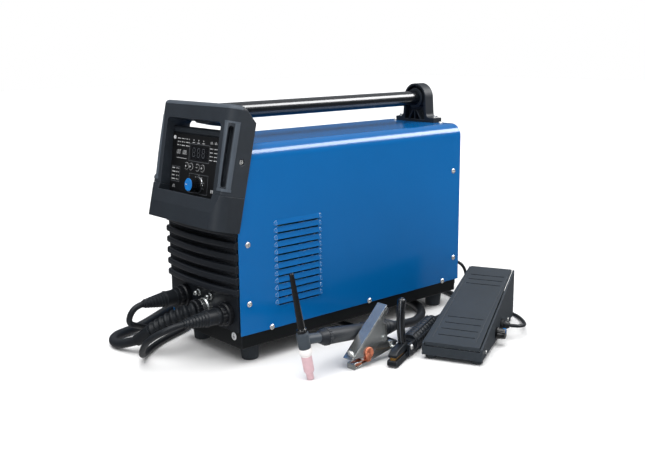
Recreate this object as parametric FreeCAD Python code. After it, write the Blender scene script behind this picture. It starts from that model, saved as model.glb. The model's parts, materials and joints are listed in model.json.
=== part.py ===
"""A portable inverter TIG welding machine with its torch, leads and foot pedal.

Machine frame: X across the machine, Y from the front face towards the rear,
Z up from the floor.  Everything is modelled in that frame in millimetres and
shifted by ORIGIN when it is saved, so the origin ends up under the middle of
the machine and its tools, on the floor.
"""
import FreeCAD, Part
import math
import os

V = FreeCAD.Vector

# ---------------------------------------------------------------- driving sizes
ORIGIN = V(125.4, 218.1, 0)          # the frame's origin in the machine frame

HALF_W = 100.6                     # half the cover's width
LENGTH = 520.0                     # the cover, front edge to rear edge
COVER_LOW = 51.4                   # lower edge of the cover
COVER_TOP = 352.2                  # roof
COVER_R = 22.6                     # bend between side and roof
SHEET = 1.5                        # steel sheet
SLANT_Z = 219.5                    # above this the front leans back
SLANT = 12.9                       # degrees
TRAY_LOW = 29.2                    # underside of the base tray
TRAY_HALF = 98.9
TRAY_TOP = 78.0

FOOT_X, FOOT_FRONT, FOOT_REAR = 70.1, 37.5, 482.5
TUBE_Z, TUBE_R = 397.8, 13.7       # carrying handle
BRACKET_Y = (500.0, 522.0)         # rear pedestal of the handle

LOUVRE_Y = (75.0, 165.0)
LOUVRE_FIRST_Z, LOUVRE_PITCH, LOUVRES = 89.0, 11.9, 12
SCREW_R, SCREW_H = 4.7, 2.3        # M5 pan heads
SIDE_SCREWS = [(17.6, 197.6), (17.6, 101.4), (61.2, 54.4), (280.4, 54.4),
               (474.6, 54.4), (505.1, 95.7), (500.5, 264.7)]
ROOF_SCREWS = [(-60.0, 509.0), (60.0, 509.0)]

CAGE_HALF = 105.0                  # guard frame round the controls
CAGE_DEPTH = 46.0                  # how far it stands in front of the cover
CAGE_TOP = 192.0                   # height along the slant
CAGE_SEAM = 54.0                   # seam between frame and apron
CAGE_R = 22.0                      # front corners in plan
WINDOW_HALF = 77.0
WINDOW_W = (54.0, 164.0)           # opening along the slant

FASCIA_START = V(0, -11.4, 268.3)  # middle of the fascia's lower edge
FASCIA_LEAN = 8.1
FASCIA_H = 95.0
FASCIA_T = 2.5
KNOB_X, KNOB_H = 8.0, 15.0         # encoder, from FASCIA_START
KNOB_R, KNOB_LEN, SHAFT_R = 10.5, 19.0, 3.0
KEY_X, KEY_H, KEY_R = (-30.0, -17.0, 2.0, 16.0), 44.0, 4.6
SCREEN_X, SCREEN_H = (-20.0, 28.0), (56.0, 78.0)

SOCKET_X, SOCKET_Z = (-52.0, 70.0), (90.0, 84.0)
TORCH_SOCKET = V(10.0, 0.0, 82.0)
PANEL_FACE = -3.0                  # front surface of the connector panel
PLUG_R = 13.4
LEAD_R, HOSE_R, PEDAL_CORD_R = 5.0, 8.0, 3.0

FAN_CENTRE = V(-10, 508, 200)
FAN_R, FAN_HUB_R, FAN_BLADES = 50.0, 19.0, 7
SWITCH = V(-62, 517, 305)
GLANDS = [V(40, 517.5, 95), V(95 - 15, 517.5, 82)]

TORCH_TIP = V(211, 48.6, 1.3)
TORCH_UP = V(0, -0.193, 0.981)
HANDLE_END = V(181.6, 258.6, 31.6)

CLAMP_X = 222.0                    # mid-plane of the earth clamp
CLAMP_PIVOT = (186.0, 39.0)        # Y, Z
HOLDER_TIP, HOLDER_TURN = V(264, 172, 0), 114.0
HOLDER_PIVOT = (58.0, 19.0)        # along the holder, Z
HOLDER_LENGTH = 212.0

PEDAL_AT, PEDAL_TURN = V(311, 260, 0), 25.0
PEDAL_HALF, PEDAL_REAR_HALF = 49.5, 42.0     # it tapers towards the rear
PEDAL_LENGTH = 264.0
PEDAL_FRONT_Z, PEDAL_REAR_Z = 30.0, 96.0
PEDAL_PIVOT = (14.0, 19.5)         # along the pedal, Z


# ---------------------------------------------------------------- shape helpers
def box(x, y, z):
    """Box between pairs of limits."""
    return Part.makeBox(x[1] - x[0], y[1] - y[0], z[1] - z[0], V(x[0], y[0], z[0]))


def rod(radius, start, end):
    """Cylinder from one point to another."""
    return Part.makeCylinder(radius, (end - start).Length, start, end - start)


def taper(radius, end_radius, start, end):
    """Cone frustum from one point to another."""
    return Part.makeCone(radius, end_radius, (end - start).Length, start, end - start)


def pipe(radius, bore, start, end):
    """Cylinder with a through bore."""
    return rod(radius, start, end).cut(rod(bore, start, end))


def turned(profile, base, direction):
    """Solid of revolution; profile is (radius, height) pairs along direction from base."""
    points = [V(r, 0, h) for r, h in profile]
    face = Part.Face(Part.makePolygon(points + [points[0]]))
    solid = face.revolve(V(0, 0, 0), V(0, 0, 1), 360)
    solid.Placement = FreeCAD.Placement(base, FreeCAD.Rotation(V(0, 0, 1), direction))
    return solid


def prism(points, depth):
    """Prism of a closed outline along a vector."""
    return Part.Face(Part.makePolygon(points + [points[0]])).extrude(depth)


def fuse(shapes):
    """One solid from several touching ones."""
    return shapes[0].multiFuse(shapes[1:]).removeSplitter()


def rounded(shape, radius, picks):
    """Fillets every edge that picks(edge) accepts."""
    return shape.makeFillet(radius, [e for e in shape.Edges if picks(e)])


def is_along(edge, axis):
    """Whether a straight edge runs along an axis."""
    if not isinstance(edge.Curve, (Part.Line, Part.LineSegment)):
        return False
    return edge.tangentAt(edge.FirstParameter).cross(axis).Length < 1e-6


def placed(shape, placement):
    """Copy of a shape, moved."""
    moved = shape.copy()
    moved.Placement = placement.multiply(moved.Placement)
    return moved


def save(node, shapes):
    """Writes a node's STEP in the object's own frame."""
    shapes = shapes if isinstance(shapes, list) else [shapes]
    moved = [placed(s, FreeCAD.Placement(-ORIGIN, FreeCAD.Rotation())) for s in shapes]
    solids = [solid for s in moved for solid in s.Solids]
    whole = solids[0] if len(solids) == 1 else Part.makeCompound(solids)
    whole.exportStep("parts/" + node + ".step")
    NODES[node] = whole


NODES = {}

CAGE_PLACE = FreeCAD.Placement(V(0, 0, SLANT_Z), FreeCAD.Rotation(V(1, 0, 0), -SLANT))
FASCIA_PLACE = FreeCAD.Placement(FASCIA_START, FreeCAD.Rotation(V(1, 0, 0), -FASCIA_LEAN))
HOLDER_PLACE = FreeCAD.Placement(HOLDER_TIP, FreeCAD.Rotation(V(0, 0, 1), HOLDER_TURN))
PEDAL_PLACE = FreeCAD.Placement(PEDAL_AT, FreeCAD.Rotation(V(0, 0, 1), PEDAL_TURN))


# ---------------------------------------------------------------- case
def cover_block(inset, ends):
    """The cover's outline pulled in by inset and run past both ends."""
    half, top, radius = HALF_W - inset, COVER_TOP - inset, COVER_R - inset
    low, bend = COVER_LOW - (10 if inset else 0), COVER_TOP - COVER_R
    y = -ends
    slope = radius * math.sqrt(0.5)
    left_mid = V(-half + radius - slope, y, bend + slope)
    right_mid = V(half - radius + slope, y, bend + slope)
    edges = [
        Part.makeLine(V(half, y, low), V(-half, y, low)),
        Part.makeLine(V(-half, y, low), V(-half, y, bend)),
        Part.Arc(V(-half, y, bend), left_mid, V(-half + radius, y, top)).toShape(),
        Part.makeLine(V(-half + radius, y, top), V(half - radius, y, top)),
        Part.Arc(V(half - radius, y, top), right_mid, V(half, y, bend)).toShape(),
        Part.makeLine(V(half, y, bend), V(half, y, low)),
    ]
    return Part.Face(Part.Wire(edges)).extrude(V(0, LENGTH + 2 * ends, 0))


def front_wedge():
    """Everything in front of the leaning front edge."""
    back = math.tan(math.radians(SLANT)) * 200
    outline = [V(-150, -40, SLANT_Z), V(-150, 0, SLANT_Z),
               V(-150, back, SLANT_Z + 200), V(-150, -40, SLANT_Z + 200)]
    return prism(outline, V(300, 0, 0))


def screw_points():
    """Every side screw as (point on the cover, outward direction)."""
    return [(V(side * HALF_W, y, z), V(side, 0, 0)) for side in (-1, 1) for y, z in SIDE_SCREWS]


def make_cover():
    shell = cover_block(0, 0).cut(cover_block(SHEET, 5)).cut(front_wedge())
    hoods, slots = [], []
    for k in range(LOUVRES):
        z = LOUVRE_FIRST_Z + k * LOUVRE_PITCH
        for side in (-1, 1):
            inner, outer = side * (HALF_W - SHEET), side * (HALF_W + 2.4)
            outline = [V(inner, LOUVRE_Y[0], z + 1.6), V(outer, LOUVRE_Y[0], z + 1.6),
                       V(side * HALF_W, LOUVRE_Y[0], z + 9.5), V(inner, LOUVRE_Y[0], z + 9.5)]
            hoods.append(prism(outline, V(0, LOUVRE_Y[1] - LOUVRE_Y[0], 0)))
            reach = sorted((inner - side, side * HALF_W + side))
            slots.append(box(reach, (LOUVRE_Y[0] + 2, LOUVRE_Y[1] - 2), (z - 1.6, z + 1.6)))
    shell = shell.multiFuse(hoods).cut(Part.makeCompound(slots))
    holes = [rod(2.3, p - d * 6, p + d * 2) for p, d in screw_points()]
    holes += [rod(2.3, V(x, y, COVER_TOP - 6), V(x, y, COVER_TOP + 2)) for x, y in ROOF_SCREWS]
    return shell.cut(Part.makeCompound(holes))


def screw(point, out):
    """Pan head with a cross recess, and the end of its shank."""
    profile = [(0, -3.5), (2.2, -3.5), (2.2, 0), (SCREW_R, 0), (SCREW_R, 1.0), (SCREW_R - 1.3, SCREW_H),
               (0, SCREW_H)]
    head = turned(profile, point, out)
    side = V(0, 1, 0)
    other = out.cross(side)
    centre = point + out * SCREW_H
    for a, b in ((side, other), (other, side)):
        corner = [centre + a * 2.4 + b * 0.5, centre - a * 2.4 + b * 0.5,
                  centre - a * 2.4 - b * 0.5, centre + a * 2.4 - b * 0.5]
        head = head.cut(prism([c - out * 1.2 for c in corner], out * 2))
    return head


def make_tray():
    """Base tray: floor, four upturned walls, and a hole for each side screw."""
    tray = box((-TRAY_HALF, TRAY_HALF), (2, LENGTH - 8), (TRAY_LOW, TRAY_TOP))
    hollow = box((-TRAY_HALF + 2, TRAY_HALF - 2), (4, LENGTH - 10), (TRAY_LOW + 2, TRAY_TOP + 1))
    tray = tray.cut(hollow)
    tray = tray.cut(box((-92, 92), (0, 5), (57, TRAY_TOP + 1)))
    tray = tray.cut(box((-92, 92), (LENGTH - 12, LENGTH - 6), (57, TRAY_TOP + 1)))
    tray = rounded(tray, 1.5, lambda e: is_along(e, V(0, 1, 0)) and e.BoundBox.ZMax < TRAY_LOW + 0.1)
    holes = [rod(2.3, p - d * 8, p + d * 2) for p, d in screw_points()]
    return tray.cut(Part.makeCompound(holes))


def make_feet():
    machine = [V(x, y, 0) for x in (-FOOT_X, FOOT_X) for y in (FOOT_FRONT, FOOT_REAR)]
    big = [(0, 0), (13, 0), (14, 1.2), (16.2, 22), (16.2, TRAY_LOW - 0.02), (0, TRAY_LOW - 0.02)]
    small = [(0, 0), (8, 0), (9.5, 1.5), (9.5, 7.98), (0, 7.98)]
    feet = [turned(big, p, V(0, 0, 1)) for p in machine]
    pedal = [V(x, y, 0) for y, reach in ((14, 38), (250, 31)) for x in (-reach, reach)]
    return feet + [placed(turned(small, p, V(0, 0, 1)), PEDAL_PLACE) for p in pedal]


# ---------------------------------------------------------------- front
def make_front_panel():
    """Moulded front: a flat connector panel below bowed horizontal ribs."""
    panel = box((-97.5, 97.5), (PANEL_FACE, 1.9), (57.2, 218))
    rim = [box((side * 97.5 - (3 if side > 0 else 0), side * 97.5 + (0 if side > 0 else 3)),
               (1.9, 14), (80, 212)) for side in (-1, 1)]
    ribs = []
    for k in range(6):
        z = 117 + 19 * k
        bow = Part.Arc(V(-100, -7, z), V(0, -17, z), V(100, -7, z)).toShape()
        outline = [bow, Part.makeLine(V(100, -7, z), V(100, -0.5, z)),
                   Part.makeLine(V(100, -0.5, z), V(-100, -0.5, z)), Part.makeLine(V(-100, -0.5, z), V(-100, -7, z))]
        rib = Part.Face(Part.Wire(outline)).extrude(V(0, 0, 11.5))
        front = [e for e in rib.Edges if isinstance(e.Curve, Part.Circle)]
        ribs.append(rib.makeFillet(3.6, front))
    panel = fuse([panel] + rim + ribs)
    for x, z, radius in sockets():
        panel = panel.cut(rod(radius, V(x, -20, z), V(x, 20, z)))
    for x, z in NIPPLES:
        panel = panel.cut(rod(4.1, V(x, -20, z), V(x, 20, z)))
    return panel


NIPPLES = [(-10.0, 103.0), (24.0, 103.0)]


def sockets():
    """X, Z and hole radius of every socket in the panel."""
    return [(SOCKET_X[0], SOCKET_Z[0], 16.1), (SOCKET_X[1], SOCKET_Z[1], 16.1),
            (TORCH_SOCKET.x, TORCH_SOCKET.z, 13.1)]


def make_output_sockets():
    """Panel sockets: flange ring outside, insulated body and brass sleeve inside."""
    shapes = []
    for x, z in zip(SOCKET_X, SOCKET_Z):
        profile = [(7.5, 26), (16, 26), (16, -PANEL_FACE), (16, 0), (19, 0), (19, -8), (17.5, -10),
                   (14.0, -10), (14.0, 12), (7.5, 12)]
        shapes.append(turned([(r, -h) for r, h in profile], V(x, PANEL_FACE, z), V(0, -1, 0)))
    return shapes


def make_torch_socket():
    """Central torch connector with its locking ring, and two gas couplings."""
    profile = [(4, 26), (13, 26), (13, 0), (16.5, 0), (16.5, -6), (15, -8), (15, -16), (10.5, -16),
               (10.5, 10), (4, 10)]
    ring = turned([(r, -h) for r, h in profile], V(TORCH_SOCKET.x, PANEL_FACE, TORCH_SOCKET.z), V(0, -1, 0))
    nipple = [(2.2, -14), (4, -14), (4, 0), (6, 0), (6, 3), (4.2, 4), (4.2, 9), (3.2, 11), (2.2, 11)]
    return [ring] + [turned(nipple, V(x, PANEL_FACE, z), V(0, -1, 0)) for x, z in NIPPLES]


PLUG_END = 87.0                    # how far the strain reliefs reach in front


def make_lead_plugs():
    """Bayonet plugs with ribbed, tapered strain reliefs."""
    plugs = []
    for x, z in zip(SOCKET_X, SOCKET_Z):
        profile = [(0, -10), (6.8, -10), (6.8, 2), (PLUG_R, 2), (PLUG_R, 12.5), (13.0, 46)]
        start, steps = 50.0, 7
        for k in range(steps):
            low = start + k * (PLUG_END - start) / steps
            radius = 12.4 - k * 0.8
            profile += [(radius, low - 1.6), (radius, low + 1.6), (radius - 1.5, low + 1.9),
                        (radius - 1.5, low + 3.4)]
        profile += [(6.0, PLUG_END), (0, PLUG_END)]
        plugs.append(turned(profile, V(x, 0, z), V(0, -1, 0)))
    return plugs


# ---------------------------------------------------------------- guard cage
def cage_plan(low, high, front, half=CAGE_HALF, rear=-0.3):
    """Prism of the cage's plan outline, front corners rounded, in the slanted frame."""
    block = box((-half, half), (-front, rear), (low, high))
    return rounded(block, CAGE_R, lambda e: is_along(e, V(0, 0, 1)) and e.BoundBox.YMax < rear - 1)


def make_cage_frame():
    """Upper guard: two pillars and a top bar round an open window."""
    frame = cage_plan(CAGE_SEAM, CAGE_TOP, CAGE_DEPTH)
    frame = rounded(frame, 7, lambda e: e.BoundBox.ZMin > CAGE_TOP - 0.2 and e.BoundBox.YMin < -1)
    upright = [V(-120, -CAGE_DEPTH + 5, CAGE_SEAM - 1), V(-120, -CAGE_DEPTH, 178),
               V(-120, -CAGE_DEPTH - 9, 178), V(-120, -CAGE_DEPTH - 9, CAGE_SEAM - 1)]
    frame = frame.cut(prism(upright, V(240, 0, 0)))
    rear_slope = [V(-120, -26, CAGE_TOP + 0.1), V(-120, 0.1, CAGE_TOP + 0.1), V(-120, 0.1, 170)]
    frame = frame.cut(prism(rear_slope, V(240, 0, 0)))
    window = box((-WINDOW_HALF, WINDOW_HALF), (-CAGE_DEPTH - 5, 5), WINDOW_W)
    window = rounded(window, 7, lambda e: is_along(e, V(0, 1, 0)) and e.BoundBox.ZMax > 100)
    frame = frame.cut(window)
    for side in (-1, 1):
        grip = box((-4.5, 4.5), (-9, 9), (66, 160))
        grip = rounded(grip, 4.4, lambda e: is_along(e, V(0, 1, 0)))
        turn = FreeCAD.Rotation(V(0, 0, 1), side * 38)
        grip.Placement = FreeCAD.Placement(V(side * 95.5, -37.5, 0), turn)
        frame = frame.cut(grip)
    bore = placed(rod(TUBE_R + 0.05, V(0, 2, TUBE_Z), V(0, 80, TUBE_Z)), CAGE_PLACE.inverse())
    frame = frame.cut(bore)
    for side in (-1, 1):
        hole = rod(2.6, V(side * (CAGE_HALF + 5), -16, 108), V(side * (CAGE_HALF - 14), -16, 108))
        sink = rod(5.2, V(side * (CAGE_HALF + 5), -16, 108), V(side * (CAGE_HALF - 4), -16, 108))
        frame = frame.cut(hole).cut(sink)
    return placed(frame, CAGE_PLACE)


def make_cage_screws():
    shapes = []
    for side in (-1, 1):
        point = CAGE_PLACE.multVec(V(side * (CAGE_HALF - 4), -16, 108))
        shapes.append(screw(point, V(side, 0, 0)))
    return shapes


def make_apron():
    """Lower moulding of the guard, open at the back and underneath."""
    apron = cage_plan(-1, CAGE_SEAM - 0.4, CAGE_DEPTH + 1)
    lip = [V(-120, -CAGE_DEPTH - 3, 14), V(-120, -CAGE_DEPTH + 4.2, CAGE_SEAM),
           V(-120, -CAGE_DEPTH - 3, CAGE_SEAM)]
    apron = apron.cut(prism(lip, V(240, 0, 0)))
    hollow = cage_plan(-5, 38, CAGE_DEPTH - 8, CAGE_HALF - 3.2, 5)
    ledge = [V(-WINDOW_HALF, -60, 47), V(-WINDOW_HALF, -40, 44.5), V(-WINDOW_HALF, 9, 44.5),
             V(-WINDOW_HALF, 9, 70), V(-WINDOW_HALF, -60, 70)]
    apron = apron.cut(hollow).cut(prism(ledge, V(2 * WINDOW_HALF, 0, 0)))
    return placed(apron.Solids[0], CAGE_PLACE)


# ---------------------------------------------------------------- controls (fascia frame: -Y is forward)
def make_housing():
    """Tray behind the fascia, with the round roll along its top."""
    outer = box((-WINDOW_HALF, WINDOW_HALF), (FASCIA_T, 20), (0, FASCIA_H))
    inner = box((-WINDOW_HALF + 3, WINDOW_HALF - 3), (0, 17.5), (2.5, FASCIA_H - 2.5))
    roll = rod(6.5, V(-WINDOW_HALF, 6.5, FASCIA_H + 6), V(WINDOW_HALF, 6.5, FASCIA_H + 6))
    neck = box((-WINDOW_HALF, WINDOW_HALF), (3, 10), (FASCIA_H - 2, FASCIA_H + 4))
    return placed(fuse([outer.cut(inner), neck, roll]), FASCIA_PLACE)


def make_fascia():
    plate = box((-WINDOW_HALF + 0.4, WINDOW_HALF - 0.4), (0, FASCIA_T - 0.02), (0.5, FASCIA_H))
    plate = plate.cut(rod(SHAFT_R + 0.5, V(KNOB_X, -5, KNOB_H + 2), V(KNOB_X, 5, KNOB_H + 2)))
    for x in KEY_X:
        plate = plate.cut(rod(KEY_R + 0.4, V(x, -5, KEY_H), V(x, 5, KEY_H)))
    plate = plate.cut(box(SCREEN_X, (-5, 5), SCREEN_H))
    return placed(plate, FASCIA_PLACE)


def make_screen():
    inset = 0.1
    window = box((SCREEN_X[0] + inset, SCREEN_X[1] - inset), (-0.4, FASCIA_T - 0.3),
                 (SCREEN_H[0] + inset, SCREEN_H[1] - inset))
    return placed(window, FASCIA_PLACE)


def make_knob():
    """Encoder knob: fluted barrel, dished end, and the shaft behind it."""
    profile = [(0, -8), (SHAFT_R, -8), (SHAFT_R, 0.4), (12.5, 0.4), (12.5, 2.2), (KNOB_R, 3.2),
               (KNOB_R, KNOB_LEN - 1.2), (KNOB_R - 1.2, KNOB_LEN), (0, KNOB_LEN)]
    knob = turned(profile, V(0, 0, 0), V(0, -1, 0))
    for k in range(16):
        a = math.radians(k * 22.5)
        x, z = (KNOB_R + 0.5) * math.cos(a), (KNOB_R + 0.5) * math.sin(a)
        knob = knob.cut(rod(1.1, V(x, -4, z), V(x, -KNOB_LEN + 2.5, z)))
    knob.translate(V(KNOB_X, 0, KNOB_H + 2))
    return placed(knob, FASCIA_PLACE)


def make_key(x):
    profile = [(0, -4), (KEY_R - 1, -4), (KEY_R - 1, -2.6), (KEY_R, -2.6), (KEY_R, 1.2), (KEY_R - 0.6, 1.8), (0, 1.8)]
    return placed(turned(profile, V(x, 0, KEY_H), V(0, -1, 0)), FASCIA_PLACE)


def make_control_board():
    """Circuit board with the encoder body and four key switches."""
    board = box((-60, 60), (11, 12.6), (5, 88))
    encoder = box((KNOB_X - 7, KNOB_X + 7), (8.6, 11), (KNOB_H - 5, KNOB_H + 9))
    switches = [box((x - 3, x + 3), (6.0, 11), (KEY_H - 3, KEY_H + 3)) for x in KEY_X]
    display = box((SCREEN_X[0] + 2, SCREEN_X[1] - 2), (4, 11), (SCREEN_H[0] + 1, SCREEN_H[1] - 1))
    return placed(fuse([board, encoder, display] + switches), FASCIA_PLACE)


# ---------------------------------------------------------------- handle
def make_tube():
    tube = rod(TUBE_R, V(0, 22, TUBE_Z), V(0, BRACKET_Y[1] - 6, TUBE_Z))
    slope = placed(box((-60, 60), (-80, -17.5), (100, 240)), CAGE_PLACE)
    return tube.cut(slope).cut(rod(TUBE_R - 2, V(0, 40, TUBE_Z), V(0, BRACKET_Y[1] - 12, TUBE_Z)))


def make_bracket():
    """Pedestal: arched block on a flanged foot, front face webbed, tube in a blind bore."""
    y0, y1 = BRACKET_Y
    radius, foot, foot_top = 28.0, 50.0, COVER_TOP + 9
    edges = [
        Part.makeLine(V(-foot, y0, COVER_TOP), V(foot, y0, COVER_TOP)),
        Part.makeLine(V(foot, y0, COVER_TOP), V(foot, y0, foot_top)),
        Part.makeLine(V(foot, y0, foot_top), V(39, y0, foot_top)),
        Part.Arc(V(39, y0, foot_top), V(32.5, y0, foot_top + 2.5), V(30, y0, foot_top + 9)).toShape(),
        Part.makeLine(V(30, y0, foot_top + 9), V(radius, y0, TUBE_Z)),
        Part.Arc(V(radius, y0, TUBE_Z), V(0, y0, TUBE_Z + radius), V(-radius, y0, TUBE_Z)).toShape(),
        Part.makeLine(V(-radius, y0, TUBE_Z), V(-30, y0, foot_top + 9)),
        Part.Arc(V(-30, y0, foot_top + 9), V(-32.5, y0, foot_top + 2.5), V(-39, y0, foot_top)).toShape(),
        Part.makeLine(V(-39, y0, foot_top), V(-foot, y0, foot_top)),
        Part.makeLine(V(-foot, y0, foot_top), V(-foot, y0, COVER_TOP)),
    ]
    block = Part.Face(Part.Wire(edges)).extrude(V(0, y1 - y0, 0))
    pocket = rod(24.5, V(0, y0 - 1, TUBE_Z), V(0, y0 + 12, TUBE_Z))
    pocket = pocket.cut(rod(18.5, V(0, y0 - 1, TUBE_Z), V(0, y0 + 12, TUBE_Z)))
    lower = prism([V(-26, y0 - 1, COVER_TOP + 5), V(26, y0 - 1, COVER_TOP + 5), V(24, y0 - 1, TUBE_Z - 12),
                   V(-24, y0 - 1, TUBE_Z - 12)], V(0, 13, 0))
    lower = lower.cut(rod(21, V(0, y0 - 2, TUBE_Z), V(0, y0 + 13, TUBE_Z)))
    webs = [box((-1.2, 1.2), (y0, y0 + 13), (COVER_TOP + 4, TUBE_Z - 16))]
    for side in (-1, 1):
        web = box((-1.2, 1.2), (y0, y0 + 13), (0, 70))
        web.Placement = FreeCAD.Placement(V(0, 0, TUBE_Z - 16), FreeCAD.Rotation(V(0, 1, 0), 180 + side * 32))
        webs.append(web.common(box((-29, 29), (y0, y0 + 13), (COVER_TOP + 4, TUBE_Z - 14))))
    block = block.cut(pocket).cut(lower.cut(Part.makeCompound(webs)))
    return block.cut(rod(TUBE_R + 0.05, V(0, y0 - 1, TUBE_Z), V(0, y1 - 6, TUBE_Z)))


# ---------------------------------------------------------------- rear
REAR_Y = (LENGTH - 5.0, LENGTH - 3.0)


def make_rear_panel():
    """Rear plate with fan slots, a switch cut-out, two gland holes and a gas hole."""
    plate = cover_block(SHEET + 0.3, 0).common(box((-120, 120), REAR_Y, (TRAY_LOW + 2.2, 360)))
    plate = plate.common(box((-96, 96), REAR_Y, (31.5, 400)))
    slots = []
    for k in range(-5, 6):
        z = FAN_CENTRE.z + k * 9
        reach = math.sqrt(FAN_R ** 2 - (k * 9) ** 2) - 2
        bar = box((FAN_CENTRE.x - reach, FAN_CENTRE.x + reach), (500, 530), (z - 2.6, z + 2.6))
        slots.append(bar.cut(box((FAN_CENTRE.x - 2.5, FAN_CENTRE.x + 2.5), (499, 531), (z - 4, z + 4))))
    plate = plate.cut(Part.makeCompound(slots))
    plate = plate.cut(box((SWITCH.x - 15, SWITCH.x + 15), (500, 530), (SWITCH.z - 11, SWITCH.z + 11)))
    for g in GLANDS + [GAS_INLET]:
        plate = plate.cut(rod(8.1, V(g.x, 500, g.z), V(g.x, 530, g.z)))
    return plate


GAS_INLET = V(-70, 517.5, 90)


def make_fan_frame():
    """Square fan housing with a round throat and a three-armed motor mount."""
    c, y0, y1 = FAN_CENTRE, 490.0, 515.0
    frame = box((c.x - 60, c.x + 60), (y0, y1), (c.z - 60, c.z + 60))
    frame = rounded(frame, 8, lambda e: is_along(e, V(0, 1, 0)))
    frame = frame.cut(rod(FAN_R + 5, V(c.x, y0 - 1, c.z), V(c.x, y1 + 1, c.z)))
    motor = rod(FAN_HUB_R, V(c.x, y0, c.z), V(c.x, y0 + 6, c.z))
    motor = motor.fuse(rod(3, V(c.x, y0, c.z), V(c.x, y1 - 6, c.z)))
    arms = []
    for k in range(3):
        arm = box((-2.5, 2.5), (y0, y0 + 4), (FAN_HUB_R - 2, FAN_R + 8))
        arm.Placement = FreeCAD.Placement(V(c.x, 0, c.z), FreeCAD.Rotation(V(0, 1, 0), 120 * k + 30))
        arms.append(arm)
    return fuse([frame, motor] + arms)


def make_fan_rotor():
    """Hub cup with pitched blades, bored for the motor's axle."""
    c = FAN_CENTRE
    hub = rod(FAN_HUB_R, V(0, 497, 0), V(0, 512, 0))
    blades = []
    for k in range(FAN_BLADES):
        blade = box((-1.1, 1.1), (-10, 10), (FAN_HUB_R - 3, FAN_R))
        pitch = FreeCAD.Placement(V(0, 504.5, 0), FreeCAD.Rotation(V(0, 0, 1), 52))
        spin = FreeCAD.Placement(V(0, 0, 0), FreeCAD.Rotation(V(0, 1, 0), 360 * k / FAN_BLADES))
        blades.append(placed(placed(blade, pitch), spin))
    rotor = fuse([hub] + blades).cut(rod(3.06, V(0, 480, 0), V(0, 520, 0)))
    rotor.translate(V(c.x, 0, c.z))
    return rotor


def make_switch_body():
    bezel = box((SWITCH.x - 17, SWITCH.x + 17), (REAR_Y[1] + 0.02, REAR_Y[1] + 2), (SWITCH.z - 13, SWITCH.z + 13))
    body = box((SWITCH.x - 14.8, SWITCH.x + 14.8), (492, REAR_Y[1] + 0.02), (SWITCH.z - 10.8, SWITCH.z + 10.8))
    pocket = box((SWITCH.x - 12, SWITCH.x + 12), (504, 530), (SWITCH.z - 8.5, SWITCH.z + 8.5))
    return fuse([bezel, body]).cut(pocket)


def make_rocker():
    """Rocker that tilts about an upright axis through SWITCH."""
    y = REAR_Y[1]
    outline = [V(-11, y - 1, 0), V(-11, y + 5, 0), V(0, y + 2.4, 0), V(11, y + 3, 0), V(11, y - 1, 0), V(0, y - 6, 0)]
    rocker = prism([p + V(SWITCH.x, 0, SWITCH.z - 8) for p in outline], V(0, 0, 16))
    return rocker


def make_glands():
    """Cable glands: thread and locknut inside, hexagon and tapered cap outside."""
    shapes = []
    for g, bore in zip(GLANDS, (LEAD_R, PEDAL_CORD_R)):
        base = V(g.x, REAR_Y[1], g.z)
        hexagon = [base + V(11 * math.cos(math.radians(60 * k)), 0, 11 * math.sin(math.radians(60 * k)))
                   for k in range(6)]
        nut = prism(hexagon, V(0, 6, 0))
        profile = [(0, -14), (8, -14), (8, 5.5), (10, 5.5), (10, 11), (bore + 2.6, 17), (0, 17)]
        gland = fuse([nut, turned(profile, base, V(0, 1, 0))])
        shapes.append(gland)
    return shapes


# ---------------------------------------------------------------- inside
def make_power_board():
    board = box((-1.0, 1.0), (60, 440), (60, 215))
    chips = [box((1.0, 9), (100 + 60 * k, 118 + 60 * k), (150, 174)) for k in range(5)]
    feet = [box((-1.0, 6), (y, y + 12), (TRAY_LOW + 2.02, 62)) for y in (80, 380)]
    return fuse([board] + chips + feet)


def make_heatsinks():
    """Two finned extrusions, one each side of the power board."""
    shapes = []
    for side in (-1, 1):
        start = side * 28
        base = box(sorted((start, start + side * 6)), (180, 430), (110, 205))
        fins = [box(sorted((start + side * 5, start + side * 34)), (180, 430), (112 + 9 * k, 114.5 + 9 * k))
                for k in range(11)]
        shapes.append(fuse([base] + fins))
    return shapes


def make_transformer():
    core = box((18, 82), (70, 150), (TRAY_LOW + 2.05, 90))
    core = core.cut(box((10, 90), (84, 98), (44, 78))).cut(box((10, 90), (122, 136), (44, 78)))
    coil = rounded(box((26, 74), (99, 121), (34, 88)), 4, lambda e: is_along(e, V(1, 0, 0)))
    return [core.cut(box((26, 74), (98.9, 121.1), (33.9, 100))), coil]


def make_capacitors():
    return [rod(17.5, V(-60, y, TRAY_LOW + 2.05), V(-60, y, 95)) for y in (90, 130, 170, 210)]


def make_gas_valve():
    """Solenoid valve behind the rear panel, with its hose tail outside."""
    y = REAR_Y[1]
    g = GAS_INLET
    block = box((g.x - 12, g.x + 12), (462, 492), (g.z - 12, g.z + 12))
    coil = rod(11, V(g.x, 477, g.z + 12), V(g.x, 477, g.z + 48))
    stem = rod(6, V(g.x, 490, g.z), V(g.x, y + 1, g.z))
    nut = rod(8, V(g.x, 492, g.z), V(g.x, y - 2.5, g.z))
    tail = turned([(0, 0), (7, 0), (7, 5), (4, 5), (4, 9), (4.8, 10), (4, 14), (4.8, 15), (4, 19), (0, 19)],
                  V(g.x, y, g.z), V(0, 1, 0))
    return fuse([block, coil, stem, nut, tail])


# ---------------------------------------------------------------- torch
def torch_axis():
    up = V(TORCH_UP)
    up.normalize()
    return up


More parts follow.
